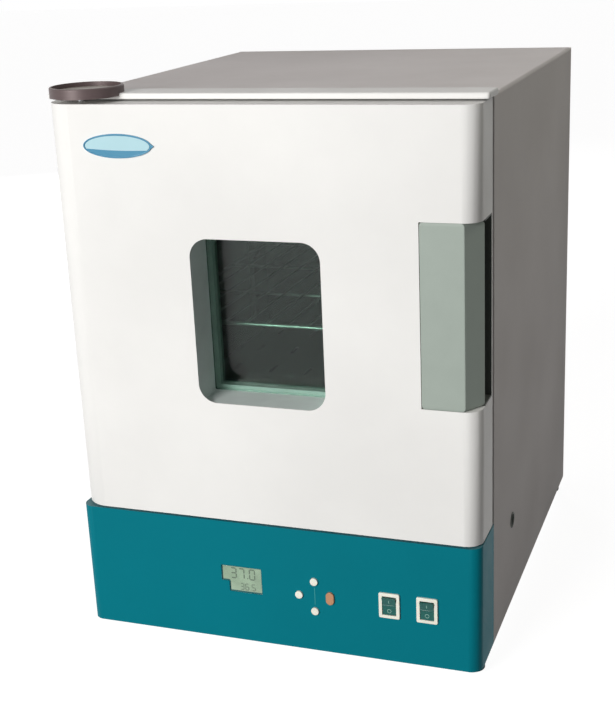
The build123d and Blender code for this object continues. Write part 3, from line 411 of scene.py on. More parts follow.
def build_rings(name: str) -> bpy.types.NodeTree:
    """Concentric tool marks of a turned face, round an upright axis.

    Args:
        name: the group's name.

    Returns:
        The group, with inputs Centre and Pitch and outputs Height, Shade and Radius.
    """
    takes_list = [("Centre", "NodeSocketVector", (0.0, 0.0, 0.0)), ("Pitch", "NodeSocketFloat", 0.0009)]
    wiring, takes, gives = open_group(name, takes_list, ["Height", "Shade", "Radius"])
    feeds = {0: wiring.place(), 1: takes["Centre"]}
    offset = wiring.node("ShaderNodeVectorMath", feeds, operation="SUBTRACT").outputs[0]
    parts = wiring.node("ShaderNodeSeparateXYZ", {0: offset})
    flat = wiring.node("ShaderNodeCombineXYZ", {0: parts.outputs[0], 1: parts.outputs[1]}).outputs[0]
    radius = wiring.node("ShaderNodeVectorMath", {0: flat}, operation="LENGTH").outputs["Value"]
    turns = wiring.calc("DIVIDE", radius, takes["Pitch"])
    wave = wiring.calc("SINE", wiring.calc("MULTIPLY", turns, math.tau))
    uneven = wiring.noise(wiring.node("ShaderNodeCombineXYZ", {0: turns}).outputs[0], 1.7, 3.0, 0.7)
    wiring.feed(gives["Height"], wiring.calc("ADD", wiring.calc("MULTIPLY", wave, 0.5), uneven))
    wiring.feed(gives["Shade"], uneven)
    wiring.feed(gives["Radius"], radius)
    return wiring.tree


def build_mottle(name: str) -> bpy.types.NodeTree:
    """Slow cloudy change of tone over a large sheet.

    Args:
        name: the group's name.

    Returns:
        The group, with input Scale and output Shade.
    """
    wiring, takes, gives = open_group(name, [("Scale", "NodeSocketFloat", 4.0)], ["Shade"])
    wiring.feed(gives["Shade"], wiring.noise(wiring.place(), takes["Scale"], 5.0, 0.55))
    return wiring.tree


EFFECT_BUILDERS: dict[Effect, Callable[[str], bpy.types.NodeTree]] = {
    Effect.PEEL: build_peel,
    Effect.WEAR: build_wear,
    Effect.DUST: build_dust,
    Effect.BRUSHED: build_brushed,
    Effect.GRAIN: build_grain,
    Effect.SMEAR: build_smear,
    Effect.RINGS: build_rings,
    Effect.MOTTLE: build_mottle,
}


class Shader(Wiring):
    """The wiring of one material round its main surface node."""

    def __init__(self, name: str) -> None:
        """Starts a material.

        Args:
            name: the material's name.
        """
        self.material = bpy.data.materials.new(name)
        self.material.use_nodes = True
        super().__init__(self.material.node_tree)
        self.surface = self.tree.nodes["Principled BSDF"]
        self.out = self.tree.nodes["Material Output"]

    def effect(self, which: Effect, **values: Any) -> bpy.types.bpy_prop_collection:
        """Places a shared effect.

        Args:
            which: the effect.
            values: its inputs by name.

        Returns:
            Its outputs.
        """
        placed = self.node("ShaderNodeGroup", node_tree=which.group())
        for name, value in values.items():
            self.feed(placed.inputs[name], value)
        return placed.outputs

    def set(self, **values: Any) -> None:
        """Sets or links sockets of the surface, with underscores for spaces.

        Args:
            values: values or output sockets by socket name.
        """
        for name, value in values.items():
            self.feed(self.surface.inputs[name.replace("_", " ")], value)

    def bump(self, height: Any, depth: float, strength: float = 1.0) -> None:
        """Raises the surface by a height.

        Args:
            height: the height value, from 0 to 1.
            depth: how much a height of 1 is, in metres.
            strength: how much of the effect shows.
        """
        feeds = {"Height": height, "Distance": depth, "Strength": strength}
        self.set(Normal=self.node("ShaderNodeBump", feeds).outputs[0])


@dataclass(frozen=True)
class PaintFinish:
    """Baked enamel on sheet steel: orange peel, slow mottle, rubbed edges and dust."""

    colour: Colour
    worn: Colour
    roughness: float = 0.38
    gloss_swing: float = 0.10
    peel: float = 0.00004
    wear: float = 0.5
    dust: float = 0.25
    sheen_level: float = 0.5

    def build(self, name: str) -> bpy.types.Material:
        """Makes the material.

        Args:
            name: its name.

        Returns:
            The material.
        """
        shader = Shader(name)
        peel = shader.effect(Effect.PEEL)
        tone = shader.effect(Effect.MOTTLE)["Shade"]
        smear = shader.effect(Effect.SMEAR)["Mask"]
        wear = shader.effect(Effect.WEAR, Amount=self.wear)["Mask"]
        dust = shader.effect(Effect.DUST, Amount=self.dust)["Mask"]
        dark = tuple(0.93 * part for part in self.colour[:3]) + (1.0,)
        colour = shader.blend(shader.spread(tone, 0.35, 0.65, 0.0, 1.0), self.colour, dark)
        colour = shader.blend(wear, colour, self.worn)
        colour = shader.blend(dust, colour, srgb(176, 170, 160))
        low, high = self.roughness - self.gloss_swing / 2, self.roughness + self.gloss_swing / 2
        rough = shader.spread(peel["Gloss"], 0.3, 0.7, low, high)
        rough = shader.calc("ADD", rough, shader.calc("MULTIPLY", smear, 0.06))
        rough = shader.calc("ADD", rough, shader.calc("MULTIPLY", dust, 0.4))
        shader.set(Base_Color=colour, Roughness=rough, Specular_IOR_Level=self.sheen_level)
        shader.bump(peel["Height"], self.peel)
        return shader.material


@dataclass(frozen=True)
class MetalFinish:
    """Rolled, brushed or plated metal with lines along one axis."""

    colour: Colour
    roughness: float = 0.3
    stretch: tuple[float, float, float] = (12.0, 900.0, 900.0)
    contrast: float = 0.12
    depth: float = 0.00001
    metallic: float = 1.0

    def build(self, name: str) -> bpy.types.Material:
        """Makes the material.

        Args:
            name: its name.

        Returns:
            The material.
        """
        shader = Shader(name)
        lines = shader.effect(Effect.BRUSHED, Stretch=self.stretch)
        tone = shader.effect(Effect.MOTTLE, Scale=11.0)["Shade"]
        dark = tuple((1 - self.contrast) * part for part in self.colour[:3]) + (1.0,)
        colour = shader.blend(lines["Shade"], dark, self.colour)
        colour = shader.blend(shader.spread(tone, 0.4, 0.7, 0.0, 0.4), colour, dark)
        rough = shader.spread(lines["Shade"], 0.0, 1.0, self.roughness - 0.05, self.roughness + 0.08)
        shader.set(Base_Color=colour, Metallic=self.metallic, Roughness=rough)
        shader.bump(lines["Height"], self.depth)
        return shader.material


@dataclass(frozen=True)
class MouldedFinish:
    """Moulded plastic or rubber with a fine grain."""

    colour: Colour
    roughness: float = 0.5
    scale: float = 1500.0
    depth: float = 0.00003
    wear: float = 0.35
    dust: float = 0.12
    glow: float = 0.0
    coat: float = 0.0
    mottle: float = 0.12
    sheen_level: float = 0.25

    def build(self, name: str) -> bpy.types.Material:
        """Makes the material.

        Args:
            name: its name.

        Returns:
            The material.
        """
        shader = Shader(name)
        grain = shader.effect(Effect.GRAIN, Scale=self.scale)
        wear = shader.effect(Effect.WEAR, Amount=self.wear, Radius=0.0008)["Mask"]
        dust = shader.effect(Effect.DUST, Amount=self.dust)["Mask"]
        light = tuple(min(1.0, 1.12 * part + 0.01) for part in self.colour[:3]) + (1.0,)
        dark = tuple((1 - self.mottle) * part for part in self.colour[:3]) + (1.0,)
        colour = shader.blend(shader.spread(grain["Shade"], 0.35, 0.65, 0.0, 1.0), dark, self.colour)
        colour = shader.blend(wear, colour, light)
        colour = shader.blend(dust, colour, srgb(160, 156, 148))
        rough = shader.spread(grain["Shade"], 0.3, 0.7, self.roughness - 0.06, self.roughness + 0.06)
        shader.set(Base_Color=colour, Roughness=rough, Specular_IOR_Level=self.sheen_level)
        shader.set(Subsurface_Weight=self.glow, Coat_Weight=self.coat)
        shader.surface.inputs["Subsurface Scale"].default_value = 0.002
        shader.bump(grain["Height"], self.depth)
        return shader.material


@dataclass(frozen=True)
class GlassFinish:
    """Clear or tinted glass. It lets light through in its own tint."""

    tint: Colour
    roughness: float = 0.02
    smear: float = 0.05
    ior: float = 1.5

    def build(self, name: str) -> bpy.types.Material:
        """Makes the material.

        Args:
            name: its name.

        Returns:
            The material.
        """
        shader = Shader(name)
        smear = shader.effect(Effect.SMEAR, Scale=22.0)["Mask"]
        rough = shader.spread(smear, 0.0, 1.0, self.roughness, self.roughness + self.smear)
        shader.set(Base_Color=self.tint, Roughness=rough, Transmission_Weight=1.0, IOR=self.ior)
        rays = shader.node("ShaderNodeLightPath").outputs
        passing = shader.calc("MAXIMUM", rays["Is Shadow Ray"], rays["Is Diffuse Ray"])
        clear = shader.node("ShaderNodeBsdfTransparent", {"Color": self.tint}).outputs[0]
        feeds = {0: passing, 1: shader.surface.outputs[0], 2: clear}
        mixed = shader.node("ShaderNodeMixShader", feeds).outputs[0]
        shader.feed(shader.out.inputs["Surface"], mixed)
        return shader.material


@dataclass(frozen=True)
class TurnedFinish:
    """Turned metal with rings round the part's own axis, a pale dish and a dark rim whose colour is a painted
    reflection of dark surroundings.
    """

    colour: Colour
    rim_painted_reflection: Colour
    centre: tuple[float, float, float]
    dish_radius: float
    roughness: float = 0.42

    def build(self, name: str) -> bpy.types.Material:
        """Makes the material.

        Args:
            name: its name.

        Returns:
            The material.
        """
        shader = Shader(name)
        rings = shader.effect(Effect.RINGS, Centre=self.centre)
        wear = shader.effect(Effect.WEAR, Amount=0.9, Radius=0.0009)["Mask"]
        dust = shader.effect(Effect.DUST, Amount=0.3)["Mask"]
        dark = tuple(0.86 * part for part in self.colour[:3]) + (1.0,)
        colour = shader.blend(shader.spread(rings["Shade"], 0.3, 0.7, 0.0, 1.0), dark, self.colour)
        # Outside the dish the colour turns to the dark rim: a painted reflection of dark surroundings.
        rim_reflection_share = shader.spread(rings["Radius"], self.dish_radius - 0.0012, self.dish_radius, 0.0, 1.0)
        colour = shader.blend(rim_reflection_share, colour, self.rim_painted_reflection)
        colour = shader.blend(wear, colour, srgb(196, 186, 176))
        colour = shader.blend(dust, colour, srgb(150, 144, 136))
        rough = shader.spread(rings["Shade"], 0.3, 0.7, self.roughness - 0.08, self.roughness + 0.1)
        rough = shader.calc("ADD", rough, shader.calc("MULTIPLY", dust, 0.5))
        shader.set(Base_Color=colour, Metallic=0.25, Roughness=rough)
        shader.bump(rings["Height"], 0.00003)
        return shader.material


@dataclass(frozen=True)
class FibreFinish:
    """Mineral wool or foam, soft and matt."""

    colour: Colour
    scale: float
    depth: float

    def build(self, name: str) -> bpy.types.Material:
        """Makes the material.

        Args:
            name: its name.

        Returns:
            The material.
        """
        shader = Shader(name)
        place = shader.place()
        tufts = shader.noise(place, self.scale, 8.0, 0.72)
        cells = shader.node("ShaderNodeTexVoronoi", {"Vector": place, "Scale": 2.2 * self.scale}).outputs[0]
        dark = tuple(0.62 * part for part in self.colour[:3]) + (1.0,)
        colour = shader.blend(shader.spread(tufts, 0.35, 0.65, 0.0, 1.0), dark, self.colour)
        shader.set(Base_Color=colour, Roughness=0.95, Specular_IOR_Level=0.1)
        shader.bump(shader.calc("ADD", tufts, shader.calc("MULTIPLY", cells, 0.4)), self.depth)
        return shader.material


@dataclass(frozen=True)
class BoardFinish:
    """Green circuit board with copper tracks under the lacquer."""

    colour: Colour
    track: Colour
    pitch: float = 260.0

    def build(self, name: str) -> bpy.types.Material:
        """Makes the material.

        Args:
            name: its name.

        Returns:
            The material.
        """
        shader = Shader(name)
        feeds = {"Vector": shader.place(), "Scale": self.pitch}
        cells = shader.node("ShaderNodeTexVoronoi", feeds, distance="MANHATTAN", feature="DISTANCE_TO_EDGE")
        tracks = shader.spread(cells.outputs[0], 0.05, 0.08, 1.0, 0.0)
        shader.set(Base_Color=shader.blend(tracks, self.colour, self.track), Roughness=0.35)
        shader.bump(tracks, 0.00004)
        return shader.material


@dataclass(frozen=True)
class DisplayFinish:
    """Pale liquid crystal face with a fine cell grid, lit a little from behind."""

    colour: Colour
    glow: float = 0.16

    def build(self, name: str) -> bpy.types.Material:
        """Makes the material.

        Args:
            name: its name.

        Returns:
            The material.
        """
        shader = Shader(name)
        feeds = {"Vector": shader.place(), "Scale": 1700.0}
        cells = shader.node("ShaderNodeTexVoronoi", feeds, distance="CHEBYCHEV").outputs[0]
        tone = shader.effect(Effect.MOTTLE, Scale=60.0)["Shade"]
        dark = tuple(0.78 * part for part in self.colour[:3]) + (1.0,)
        colour = shader.blend(shader.spread(tone, 0.3, 0.7, 0.0, 1.0), self.colour, dark)
        colour = shader.blend(shader.spread(cells, 0.3, 0.6, 0.0, 0.12), colour, dark)
        shader.set(Base_Color=colour, Roughness=0.35, Emission_Color=colour, Emission_Strength=self.glow)
        shader.bump(cells, 0.00001)
        return shader.material


HINGE_CAP_LOW, HINGE_CAP_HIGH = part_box("hinge_cap")
CAP_CENTRE = tuple((low + high) / 2 for low, high in zip(HINGE_CAP_LOW, HINGE_CAP_HIGH))
CAP_DISH_RADIUS = (HINGE_CAP_HIGH.y - HINGE_CAP_LOW.y) / 2 - 3.0 * MM
ALONG_Z = (900.0, 900.0, 12.0)

FINISHES: dict[Slot, Any] = {
    Slot.DOOR_PAINT: PaintFinish(srgb(235, 235, 233), srgb(176, 176, 172), wear=0.35, dust=0.10, sheen_level=0.12),
    Slot.CABINET_PAINT: PaintFinish(srgb(234, 230, 229), srgb(170, 170, 166), roughness=0.5, wear=0.45, dust=0.08, sheen_level=0.02),
    Slot.PANEL_TEAL: PaintFinish(srgb(4, 116, 130), srgb(40, 130, 140), roughness=0.46, wear=0.3, sheen_level=0.05),
    Slot.STAINLESS: MetalFinish(srgb(178, 182, 180), roughness=0.40),
    Slot.ZINC_STEEL: MetalFinish(srgb(168, 172, 176), roughness=0.42, contrast=0.2),
    Slot.BRIGHT_STEEL: MetalFinish(srgb(214, 214, 212), roughness=0.2, contrast=0.06),
    Slot.BLACK_RUBBER: MouldedFinish(srgb(34, 34, 34), roughness=0.74, scale=900.0, depth=0.00005),
    Slot.GREY_RUBBER: MouldedFinish(srgb(150, 150, 146), roughness=0.66, scale=1100.0),
    Slot.GRIP_PLASTIC: MouldedFinish(srgb(158, 169, 161), roughness=0.5, wear=0.25, mottle=0.04),
    Slot.DARK_PLASTIC: MouldedFinish(srgb(82, 87, 82), roughness=0.56),
    Slot.FRAME_PLASTIC: MouldedFinish(srgb(238, 248, 245), roughness=0.42, depth=0.00002, mottle=0.05),
    Slot.CREAM_PLASTIC: MouldedFinish(srgb(243, 241, 228), roughness=0.34, glow=0.08, depth=0.00002),
    Slot.ORANGE_PLASTIC: MouldedFinish(srgb(190, 140, 106), roughness=0.36, glow=0.08, depth=0.00002),
    Slot.GREEN_LENS: MouldedFinish(srgb(22, 92, 86), roughness=0.3, glow=0.1, depth=0.00001, coat=0.1),
    # Cap: pale dish, and a dark rim colour that is a painted reflection.
    Slot.CAP_BRONZE: TurnedFinish(srgb(150, 144, 136), srgb(84, 70, 70), CAP_CENTRE, CAP_DISH_RADIUS),
    Slot.CLEAR_GLASS: GlassFinish(srgb(206, 220, 214), ior=1.3),
    Slot.LENS_GLASS: GlassFinish(srgb(240, 240, 230), roughness=0.25, smear=0.1),
    Slot.DISPLAY_FACE: GlassFinish(srgb(232, 240, 232), roughness=0.08, ior=1.42),
    Slot.DISPLAY_LCD: DisplayFinish(srgb(190, 202, 188)),
    Slot.CIRCUIT_BOARD: BoardFinish(srgb(18, 84, 48), srgb(52, 128, 74)),
    Slot.WOOL: FibreFinish(srgb(222, 206, 160), 70.0, 0.002),
    Slot.FOAM: FibreFinish(srgb(228, 222, 200), 420.0, 0.0005),
    Slot.BADGE_BLUE: PaintFinish(srgb(52, 132, 166), srgb(150, 190, 206), roughness=0.22, peel=0.00001),
    Slot.BRASS_BLADE: MetalFinish(srgb(206, 190, 140), roughness=0.25, stretch=ALONG_Z),
    Slot.BUSH_PLASTIC: MouldedFinish(srgb(226, 224, 214), roughness=0.4),
    Slot.HEAT_SINK: MetalFinish(srgb(70, 72, 76), roughness=0.4, stretch=ALONG_Z, metallic=0.7),
}
BADGE_PALE = PaintFinish(srgb(174, 212, 221), srgb(214, 236, 240), roughness=0.18, peel=0.00001, dust=0.0)
SEGMENT_DARK = MouldedFinish(srgb(112, 126, 114), roughness=0.4, depth=0.00001, wear=0.0, dust=0.0)
MARK_WHITE = MouldedFinish(srgb(140, 184, 172), roughness=0.4, depth=0.00001, wear=0.0, dust=0.0)
# Dark metal for the screws' cross recesses: painted shade inside the recess, whose metal is the head's own.
RECESS_PAINTED_SHADE = MetalFinish(srgb(54, 54, 52), roughness=0.5)
# Chamber liner: the stainless darkened and tinted green, as painted shade of the dim interior behind the window.
CHAMBER_STEEL_PAINTED_SHADE = MetalFinish(srgb(96, 108, 104), roughness=0.52, contrast=0.06)

OWN_FINISHES: dict[str, Any] = {"chamber_liner": CHAMBER_STEEL_PAINTED_SHADE}
SOFT_ANGLES: dict[str, float] = {"handle_grip": 18.0}
WIDE_EDGE = 2.0 * MM


class FinishBook:
    """Keeps each finish's material, so that each is built once."""

    made: dict[str, bpy.types.Material] = {}

    @classmethod
    def slot(cls, slot: Slot) -> bpy.types.Material:
        """The material of a slot."""
        return cls.named(f"finish_{slot.value}", FINISHES[slot])

    @classmethod
    def named(cls, name: str, finish: Any) -> bpy.types.Material:
        """The material of a finish under a name, built at first use.

        Args:
            name: the material's name.
            finish: the finish.

        Returns:
            The material.
        """
        if name not in cls.made:
            cls.made[name] = finish.build(name)
        return cls.made[name]


def rounded_loop(width: float, height: float, radius: float, steps: int = 8) -> list[tuple[Vector, Vector]]:
    """Points round a rounded rectangle, with the outward direction at each.

    Args:
        width: whole width.
        height: whole height.
        radius: corner radius.
        steps: spans in each corner.

    Returns:
        Pairs of point and outward direction, in two dimensions.
    """
    loop = []
    for quarter, (sx, sy) in enumerate(((1, 1), (-1, 1), (-1, -1), (1, -1))):
        centre = Vector((sx * (width / 2 - radius), sy * (height / 2 - radius)))
        for i in range(steps + 1):
            angle = math.pi / 2 * (quarter + i / steps)
            outward = Vector((math.cos(angle), math.sin(angle)))
            loop.append((centre + radius * outward, outward))
    return loop


def mesh_from(name: str, bm: bmesh.types.BMesh, smooth: bool = True) -> bpy.types.Mesh:
    """Turns built geometry into a mesh.

    Args:
        name: the mesh's name.
        bm: the geometry, which is freed.
        smooth: whether its faces are shaded smooth.

    Returns:
        The mesh.
    """
    bmesh.ops.recalc_face_normals(bm, faces=bm.faces)
    for face in bm.faces:
        face.smooth = smooth
    mesh = bpy.data.meshes.new(name)
    bm.to_mesh(mesh)
    bm.free()
    return mesh


def ring_sweep(name: str, loop: Sequence[tuple[Vector, Vector]], profile: Sequence[tuple[float, float]],
               centre: Vector) -> bpy.types.Mesh:
    """Sweeps a closed profile round an upright closed loop.

    Args:
        name: the mesh's name.
        loop: points and outward directions in the plane that faces the front.
        profile: offsets outward and places in depth.
        centre: where the loop's middle lies. Its depth isn't used.

    Returns:
        The mesh.
    """
    bm = bmesh.new()
    rows = []
    for point, outward in loop:
        row = []
        for out, depth in profile:
            spot = point + out * outward
            row.append(bm.verts.new((centre.x + spot.x, depth, centre.z + spot.y)))
        rows.append(row)
    for i, row in enumerate(rows):
        after = rows[(i + 1) % len(rows)]
        for j in range(len(profile)):
            k = (j + 1) % len(profile)
            bm.faces.new((row[j], row[k], after[k], after[j]))
    return mesh_from(name, bm)


def lathe(bm: bmesh.types.BMesh, profile: Sequence[tuple[float, float]], steps: int) -> None:
    """Turns a profile round the Z axis. Ends that lie on the axis close to a point.

    Args:
        bm: where the faces go.
        profile: radius and height of each point.
        steps: spans round the axis.
    """
    rings = []
    for radius, height in profile:
        if radius == 0:
            rings.append([bm.verts.new((0, 0, height))] * steps)
            continue
        turns = [math.tau * i / steps for i in range(steps)]
        rings.append([bm.verts.new((radius * math.cos(a), radius * math.sin(a), height)) for a in turns])
    for low, high in zip(rings, rings[1:]):
        for i in range(steps):
            k = (i + 1) % steps
            corners = list(dict.fromkeys((low[i], low[k], high[k], high[i])))
            if len(corners) > 2:
                bm.faces.new(corners)


def screw_head(radius: float, height: float) -> bpy.types.Mesh:
    """Pan head with a cross recess, seated at zero and looking along +Z.

    Args:
        radius: the head's radius.
        height: the head's height.

    Returns:
        The mesh, with the recess in the second material, which takes dark metal as painted shade.
    """
    bm = bmesh.new()
    dome = [(radius * math.cos(a), height * (0.35 + 0.64 * math.sin(a))) for a in (0.0, 0.45, 0.85, 1.2)]
    lathe(bm, [(radius, 0.0), *dome, (0.0, 0.985 * height)], 32)
    arm, half, rise = 0.52 * radius, 0.13 * radius, 0.99 * height
    for turn in (0.0, math.pi / 2):
        spin = Matrix.Rotation(turn, 3, "Z")
        lifted = rise + 0.00001 * (turn > 0)
        flat = [(-arm, -half), (arm, -half), (arm, half), (-arm, half)]
        top = [bm.verts.new(spin @ Vector((x, y, lifted))) for x, y in flat]
        foot = [bm.verts.new(spin @ Vector((x * 0.7, y * 0.6, 0.3 * height))) for x, y in flat]
        faces = [bm.faces.new(top)]
        for i in range(4):
            faces.append(bm.faces.new((top[i], foot[i], foot[(i + 1) % 4], top[(i + 1) % 4])))
        for face in faces:
            face.material_index = 1
    return mesh_from("screw_head", bm)


def joined(name: str, mesh: bpy.types.Mesh, places: Sequence[Matrix]) -> bpy.types.Mesh:
    """One mesh with a copy of another at each place.

    Args:
        name: the new mesh's name.
        mesh: the mesh to repeat.
        places: where the copies go.

    Returns:
        The mesh.
    """
    bm = bmesh.new()
    for place in places:
        before = set(bm.verts)
        bm.from_mesh(mesh)
        added = [vert for vert in bm.verts if vert not in before]
        bmesh.ops.transform(bm, matrix=place, verts=added)
    made = bpy.data.meshes.new(name)
    bm.to_mesh(made)
    bm.free()
    return made


def plates(name: str, outlines: Sequence[Sequence[tuple[float, float]]], thickness: float) -> bpy.types.Mesh:
    """Thin flat plates in the XZ plane. Their backs lie at depth zero and they stand out to the front.

    Args:
        name: the mesh's name.
        outlines: the plates' outlines.
        thickness: how far they stand out.

    Returns:
        The mesh.
    """
    bm = bmesh.new()
    for outline in outlines:
        back = [bm.verts.new((x, 0.0, z)) for x, z in outline]
        front = [bm.verts.new((x, -thickness, z)) for x, z in outline]
        bm.faces.new(front)
        bm.faces.new(list(reversed(back)))
        count = len(outline)
        for i in range(count):
            k = (i + 1) % count
            bm.faces.new((back[i], back[k], front[k], front[i]))
    return mesh_from(name, bm, smooth=False)


SEGMENTS = {
    "0": "abcdef", "1": "bc", "2": "abged", "3": "abgcd", "4": "fgbc",
    "5": "afgcd", "6": "afgedc", "7": "abc", "8": "abcdefg", "9": "abcdfg",
}


def segment_bar(x: float, z: float, length: float, thick: float, upright: bool) -> list[tuple[float, float]]:
    """Outline of one display segment with pointed ends.

    Args:
        x: its middle across.
        z: its middle in height.
        length: its length.
        thick: its thickness.
        upright: whether it stands.

    Returns:
        Six corners.
    """
    a, b = length / 2, thick / 2
    flat = [(-a, 0), (-a + b, b), (a - b, b), (a, 0), (a - b, -b), (-a + b, -b)]
    return [(x + v, z + u) if upright else (x + u, z + v) for u, v in flat]


def digits(text: str, x: float, z: float, height: float) -> list[list[tuple[float, float]]]:
    """Outlines of a number in seven segments.

    Args:
        text: digits and points.
        x: left end.
        z: lower end.
        height: height of a digit.

    Returns:
        The outlines.
    """
    thick, width = 0.13 * height, 0.5 * height
    half, gap = height / 2, 0.94
    bars = []
    for letter in text:
        if letter == ".":
            bars.append(segment_bar(x + thick / 2, z + thick / 2, 1.2 * thick, thick, False))
            x += 2.0 * thick
            continue
        ends = {
            "a": (x + width / 2, z + height, False), "g": (x + width / 2, z + half, False),
            "d": (x + width / 2, z, False), "f": (x, z + 0.75 * height, True),
            "b": (x + width, z + 0.75 * height, True), "e": (x, z + 0.25 * height, True),
            "c": (x + width, z + 0.25 * height, True),
        }
        for part in SEGMENTS[letter]:
            mid_x, mid_z, upright = ends[part]
            bars.append(segment_bar(mid_x, mid_z, gap * (half if upright else width), thick, upright))
        x += width + 2.2 * thick
    return bars


@dataclass
class SubAssembly:
    """Pieces that ride on one body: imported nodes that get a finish, and fine pieces made here."""

    body: Body
    softened: dict[str, float] = field(default_factory=dict)

    def dress(self) -> None:
        """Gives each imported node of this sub-assembly its finish and softened edges."""
        for name, radius in self.softened.items():
            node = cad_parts[name]
            slot = Slot(node.material_slots[0].material.name.split(".")[0])
            own = OWN_FINISHES.get(name)
            for place in node.material_slots:
                place.material = FinishBook.named(f"finish_{name}", own) if own else FinishBook.slot(slot)
            if radius:
                self.soften(node, radius, SOFT_ANGLES.get(name, 38.0))
            LOG.info("dressed %s in %s", name, slot.value)

    def soften(self, piece: bpy.types.Object, radius: float, angle: float) -> None:
        """Rounds a piece's sharp edges.

        Args:
            piece: the piece.
            radius: how much is taken off each edge.
            angle: the least angle between two faces, in degrees, that is rounded.
        """
        weld = piece.modifiers.new("weld", "WELD")
        weld.merge_threshold = 0.000002
        edge = piece.modifiers.new("edge", "BEVEL")
        edge.width = radius
        edge.segments = 3
        edge.limit_method = "ANGLE"
        edge.angle_limit = math.radians(angle)
        edge.use_clamp_overlap = radius < WIDE_EDGE
        edge.harden_normals = True

    def piece(self, name: str, mesh: bpy.types.Mesh, slot: Slot, finish: Any = None,
              stands_for: Sequence[str] = (), body: Body | None = None) -> bpy.types.Object:
        """Adds a fine piece that rides on the body.

        Args:
            name: its name.
            mesh: its mesh, in place.
            slot: the slot that it takes its finish from.
            finish: its own finish where it differs from the slot's.
            stands_for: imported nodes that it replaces.
            body: another body than the sub-assembly's.

        Returns:
            The piece.
        """
        made = bpy.data.objects.new(name, mesh)
        bpy.context.scene.collection.objects.link(made)
        dressed = FinishBook.named(f"finish_{name}", finish) if finish else FinishBook.slot(slot)
        mesh.materials.clear()
        mesh.materials.append(dressed)
        # Faces of the second material, the screws' cross recesses, get dark metal as painted shade.
        if any(face.material_index == 1 for face in mesh.polygons):
            mesh.materials.append(FinishBook.named("finish_recess", RECESS_PAINTED_SHADE))
        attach(made, (body or self.body).value)
        if stands_for:
            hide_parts(*stands_for)
        LOG.info("made %s", name)
        return made

    def screws(self, name: str, node: str, slot: Slot, spots: Sequence[tuple[float, float, float]],
               facing: Facing, radius: float = 4.0 * MM, height: float = 2.0 * MM) -> None:
        """Replaces plain screws by pan heads with cross recesses.

        Args:
            name: the piece's name.
            node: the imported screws.
            slot: their slot.
            spots: the seats of the heads.
            facing: where the heads look.
            radius: the heads' radius.
            height: the heads' height.
        """
        places = []
        for i, spot in enumerate(spots):
            twist = Matrix.Rotation(0.7 * i, 4, "Z")
            places.append(Matrix.Translation(spot) @ facing.turn() @ twist)
        mesh = joined(name, screw_head(radius, height), places)
        self.piece(name, mesh, slot, stands_for=[node])


@dataclass
class CabinetShell(SubAssembly):
    """Painted case, base, back sheet, feet and what is fitted through the case."""

    head_radius: float = 4.0 * MM
    head_height: float = 2.0 * MM
    foot_recess: float = 5.0 * MM

    def build(self) -> None:
        """Makes the screw heads at the back and under the feet."""
        low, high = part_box("rear_screws")
        middle = (low.z + high.z) / 2
        sides = (low.x + self.head_radius, high.x - self.head_radius)
        levels = (low.z + self.head_radius, middle, high.z - self.head_radius)
        seats = [(x, high.y - self.head_height, z) for x in sides for z in levels]
        self.screws("rear_screw_heads", "rear_screws", Slot.BRIGHT_STEEL, seats, Facing.BACK)
        low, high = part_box("foot_screws")
        xs = (low.x + self.head_radius, high.x - self.head_radius)
        ys = (low.y + self.head_radius, high.y - self.head_radius)
        seats = [(x, y, self.foot_recess) for x in xs for y in ys]
        self.screws("foot_screw_heads", "foot_screws", Slot.ZINC_STEEL, seats, Facing.DOWN)


@dataclass
class Chamber(SubAssembly):
    """Stainless chamber with its shelves, heater, probe and lamp."""

    wires: int = 13
    frame_radius: float = 2.5 * MM
    wire_radius: float = 1.5 * MM

    def build(self) -> None:
        """Makes the weld beads where the shelf wires cross their frames."""
        for name in ("wire_shelf_lower", "wire_shelf_upper"):
            self.weld_beads(name)

    def weld_beads(self, shelf: str) -> None:
        """Small flattened beads at both ends of each wire.

        Args:
            shelf: the shelf's node.
        """
        low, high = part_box(shelf)
        axis = low.z + self.frame_radius
        x0, x1 = low.x + self.frame_radius, high.x - self.frame_radius
        pitch = (x1 - x0) / (self.wires + 1)
        bead = bmesh.new()
        bmesh.ops.create_uvsphere(bead, u_segments=10, v_segments=6, radius=1.0)
        bmesh.ops.scale(bead, vec=(1.9 * MM, 2.3 * MM, 1.3 * MM), verts=bead.verts)
        mesh = mesh_from("bead", bead)
        places = []
        for y in (low.y + self.frame_radius, high.y - self.frame_radius):
            for i in range(self.wires):
                spot = (x0 + pitch * (i + 1), y, axis + 1.3 * self.wire_radius)
                places.append(Matrix.Translation(spot))
        self.piece(f"{shelf}_weld_beads", joined(f"{shelf}_beads", mesh, places), Slot.STAINLESS)


@dataclass
class TopRail(SubAssembly):
    """Rail above the door with the upper pivot and its dished cap."""

    screw_pitch: float = 100 * MM
    screw_count: int = 4
    head_height: float = 0.8 * MM

    def build(self) -> None:
        """Makes the flush screw heads of the rail's tongue."""
        low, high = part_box("visor_screws")
        radius = (high.y - low.y) / 2
        y = (low.y + high.y) / 2
        seat = high.z - self.head_height
        seats = [(low.x + radius + self.screw_pitch * i, y, seat) for i in range(self.screw_count)]
        self.screws("visor_screw_heads", "visor_screws", Slot.BRIGHT_STEEL, seats, Facing.UP, radius, self.head_height)


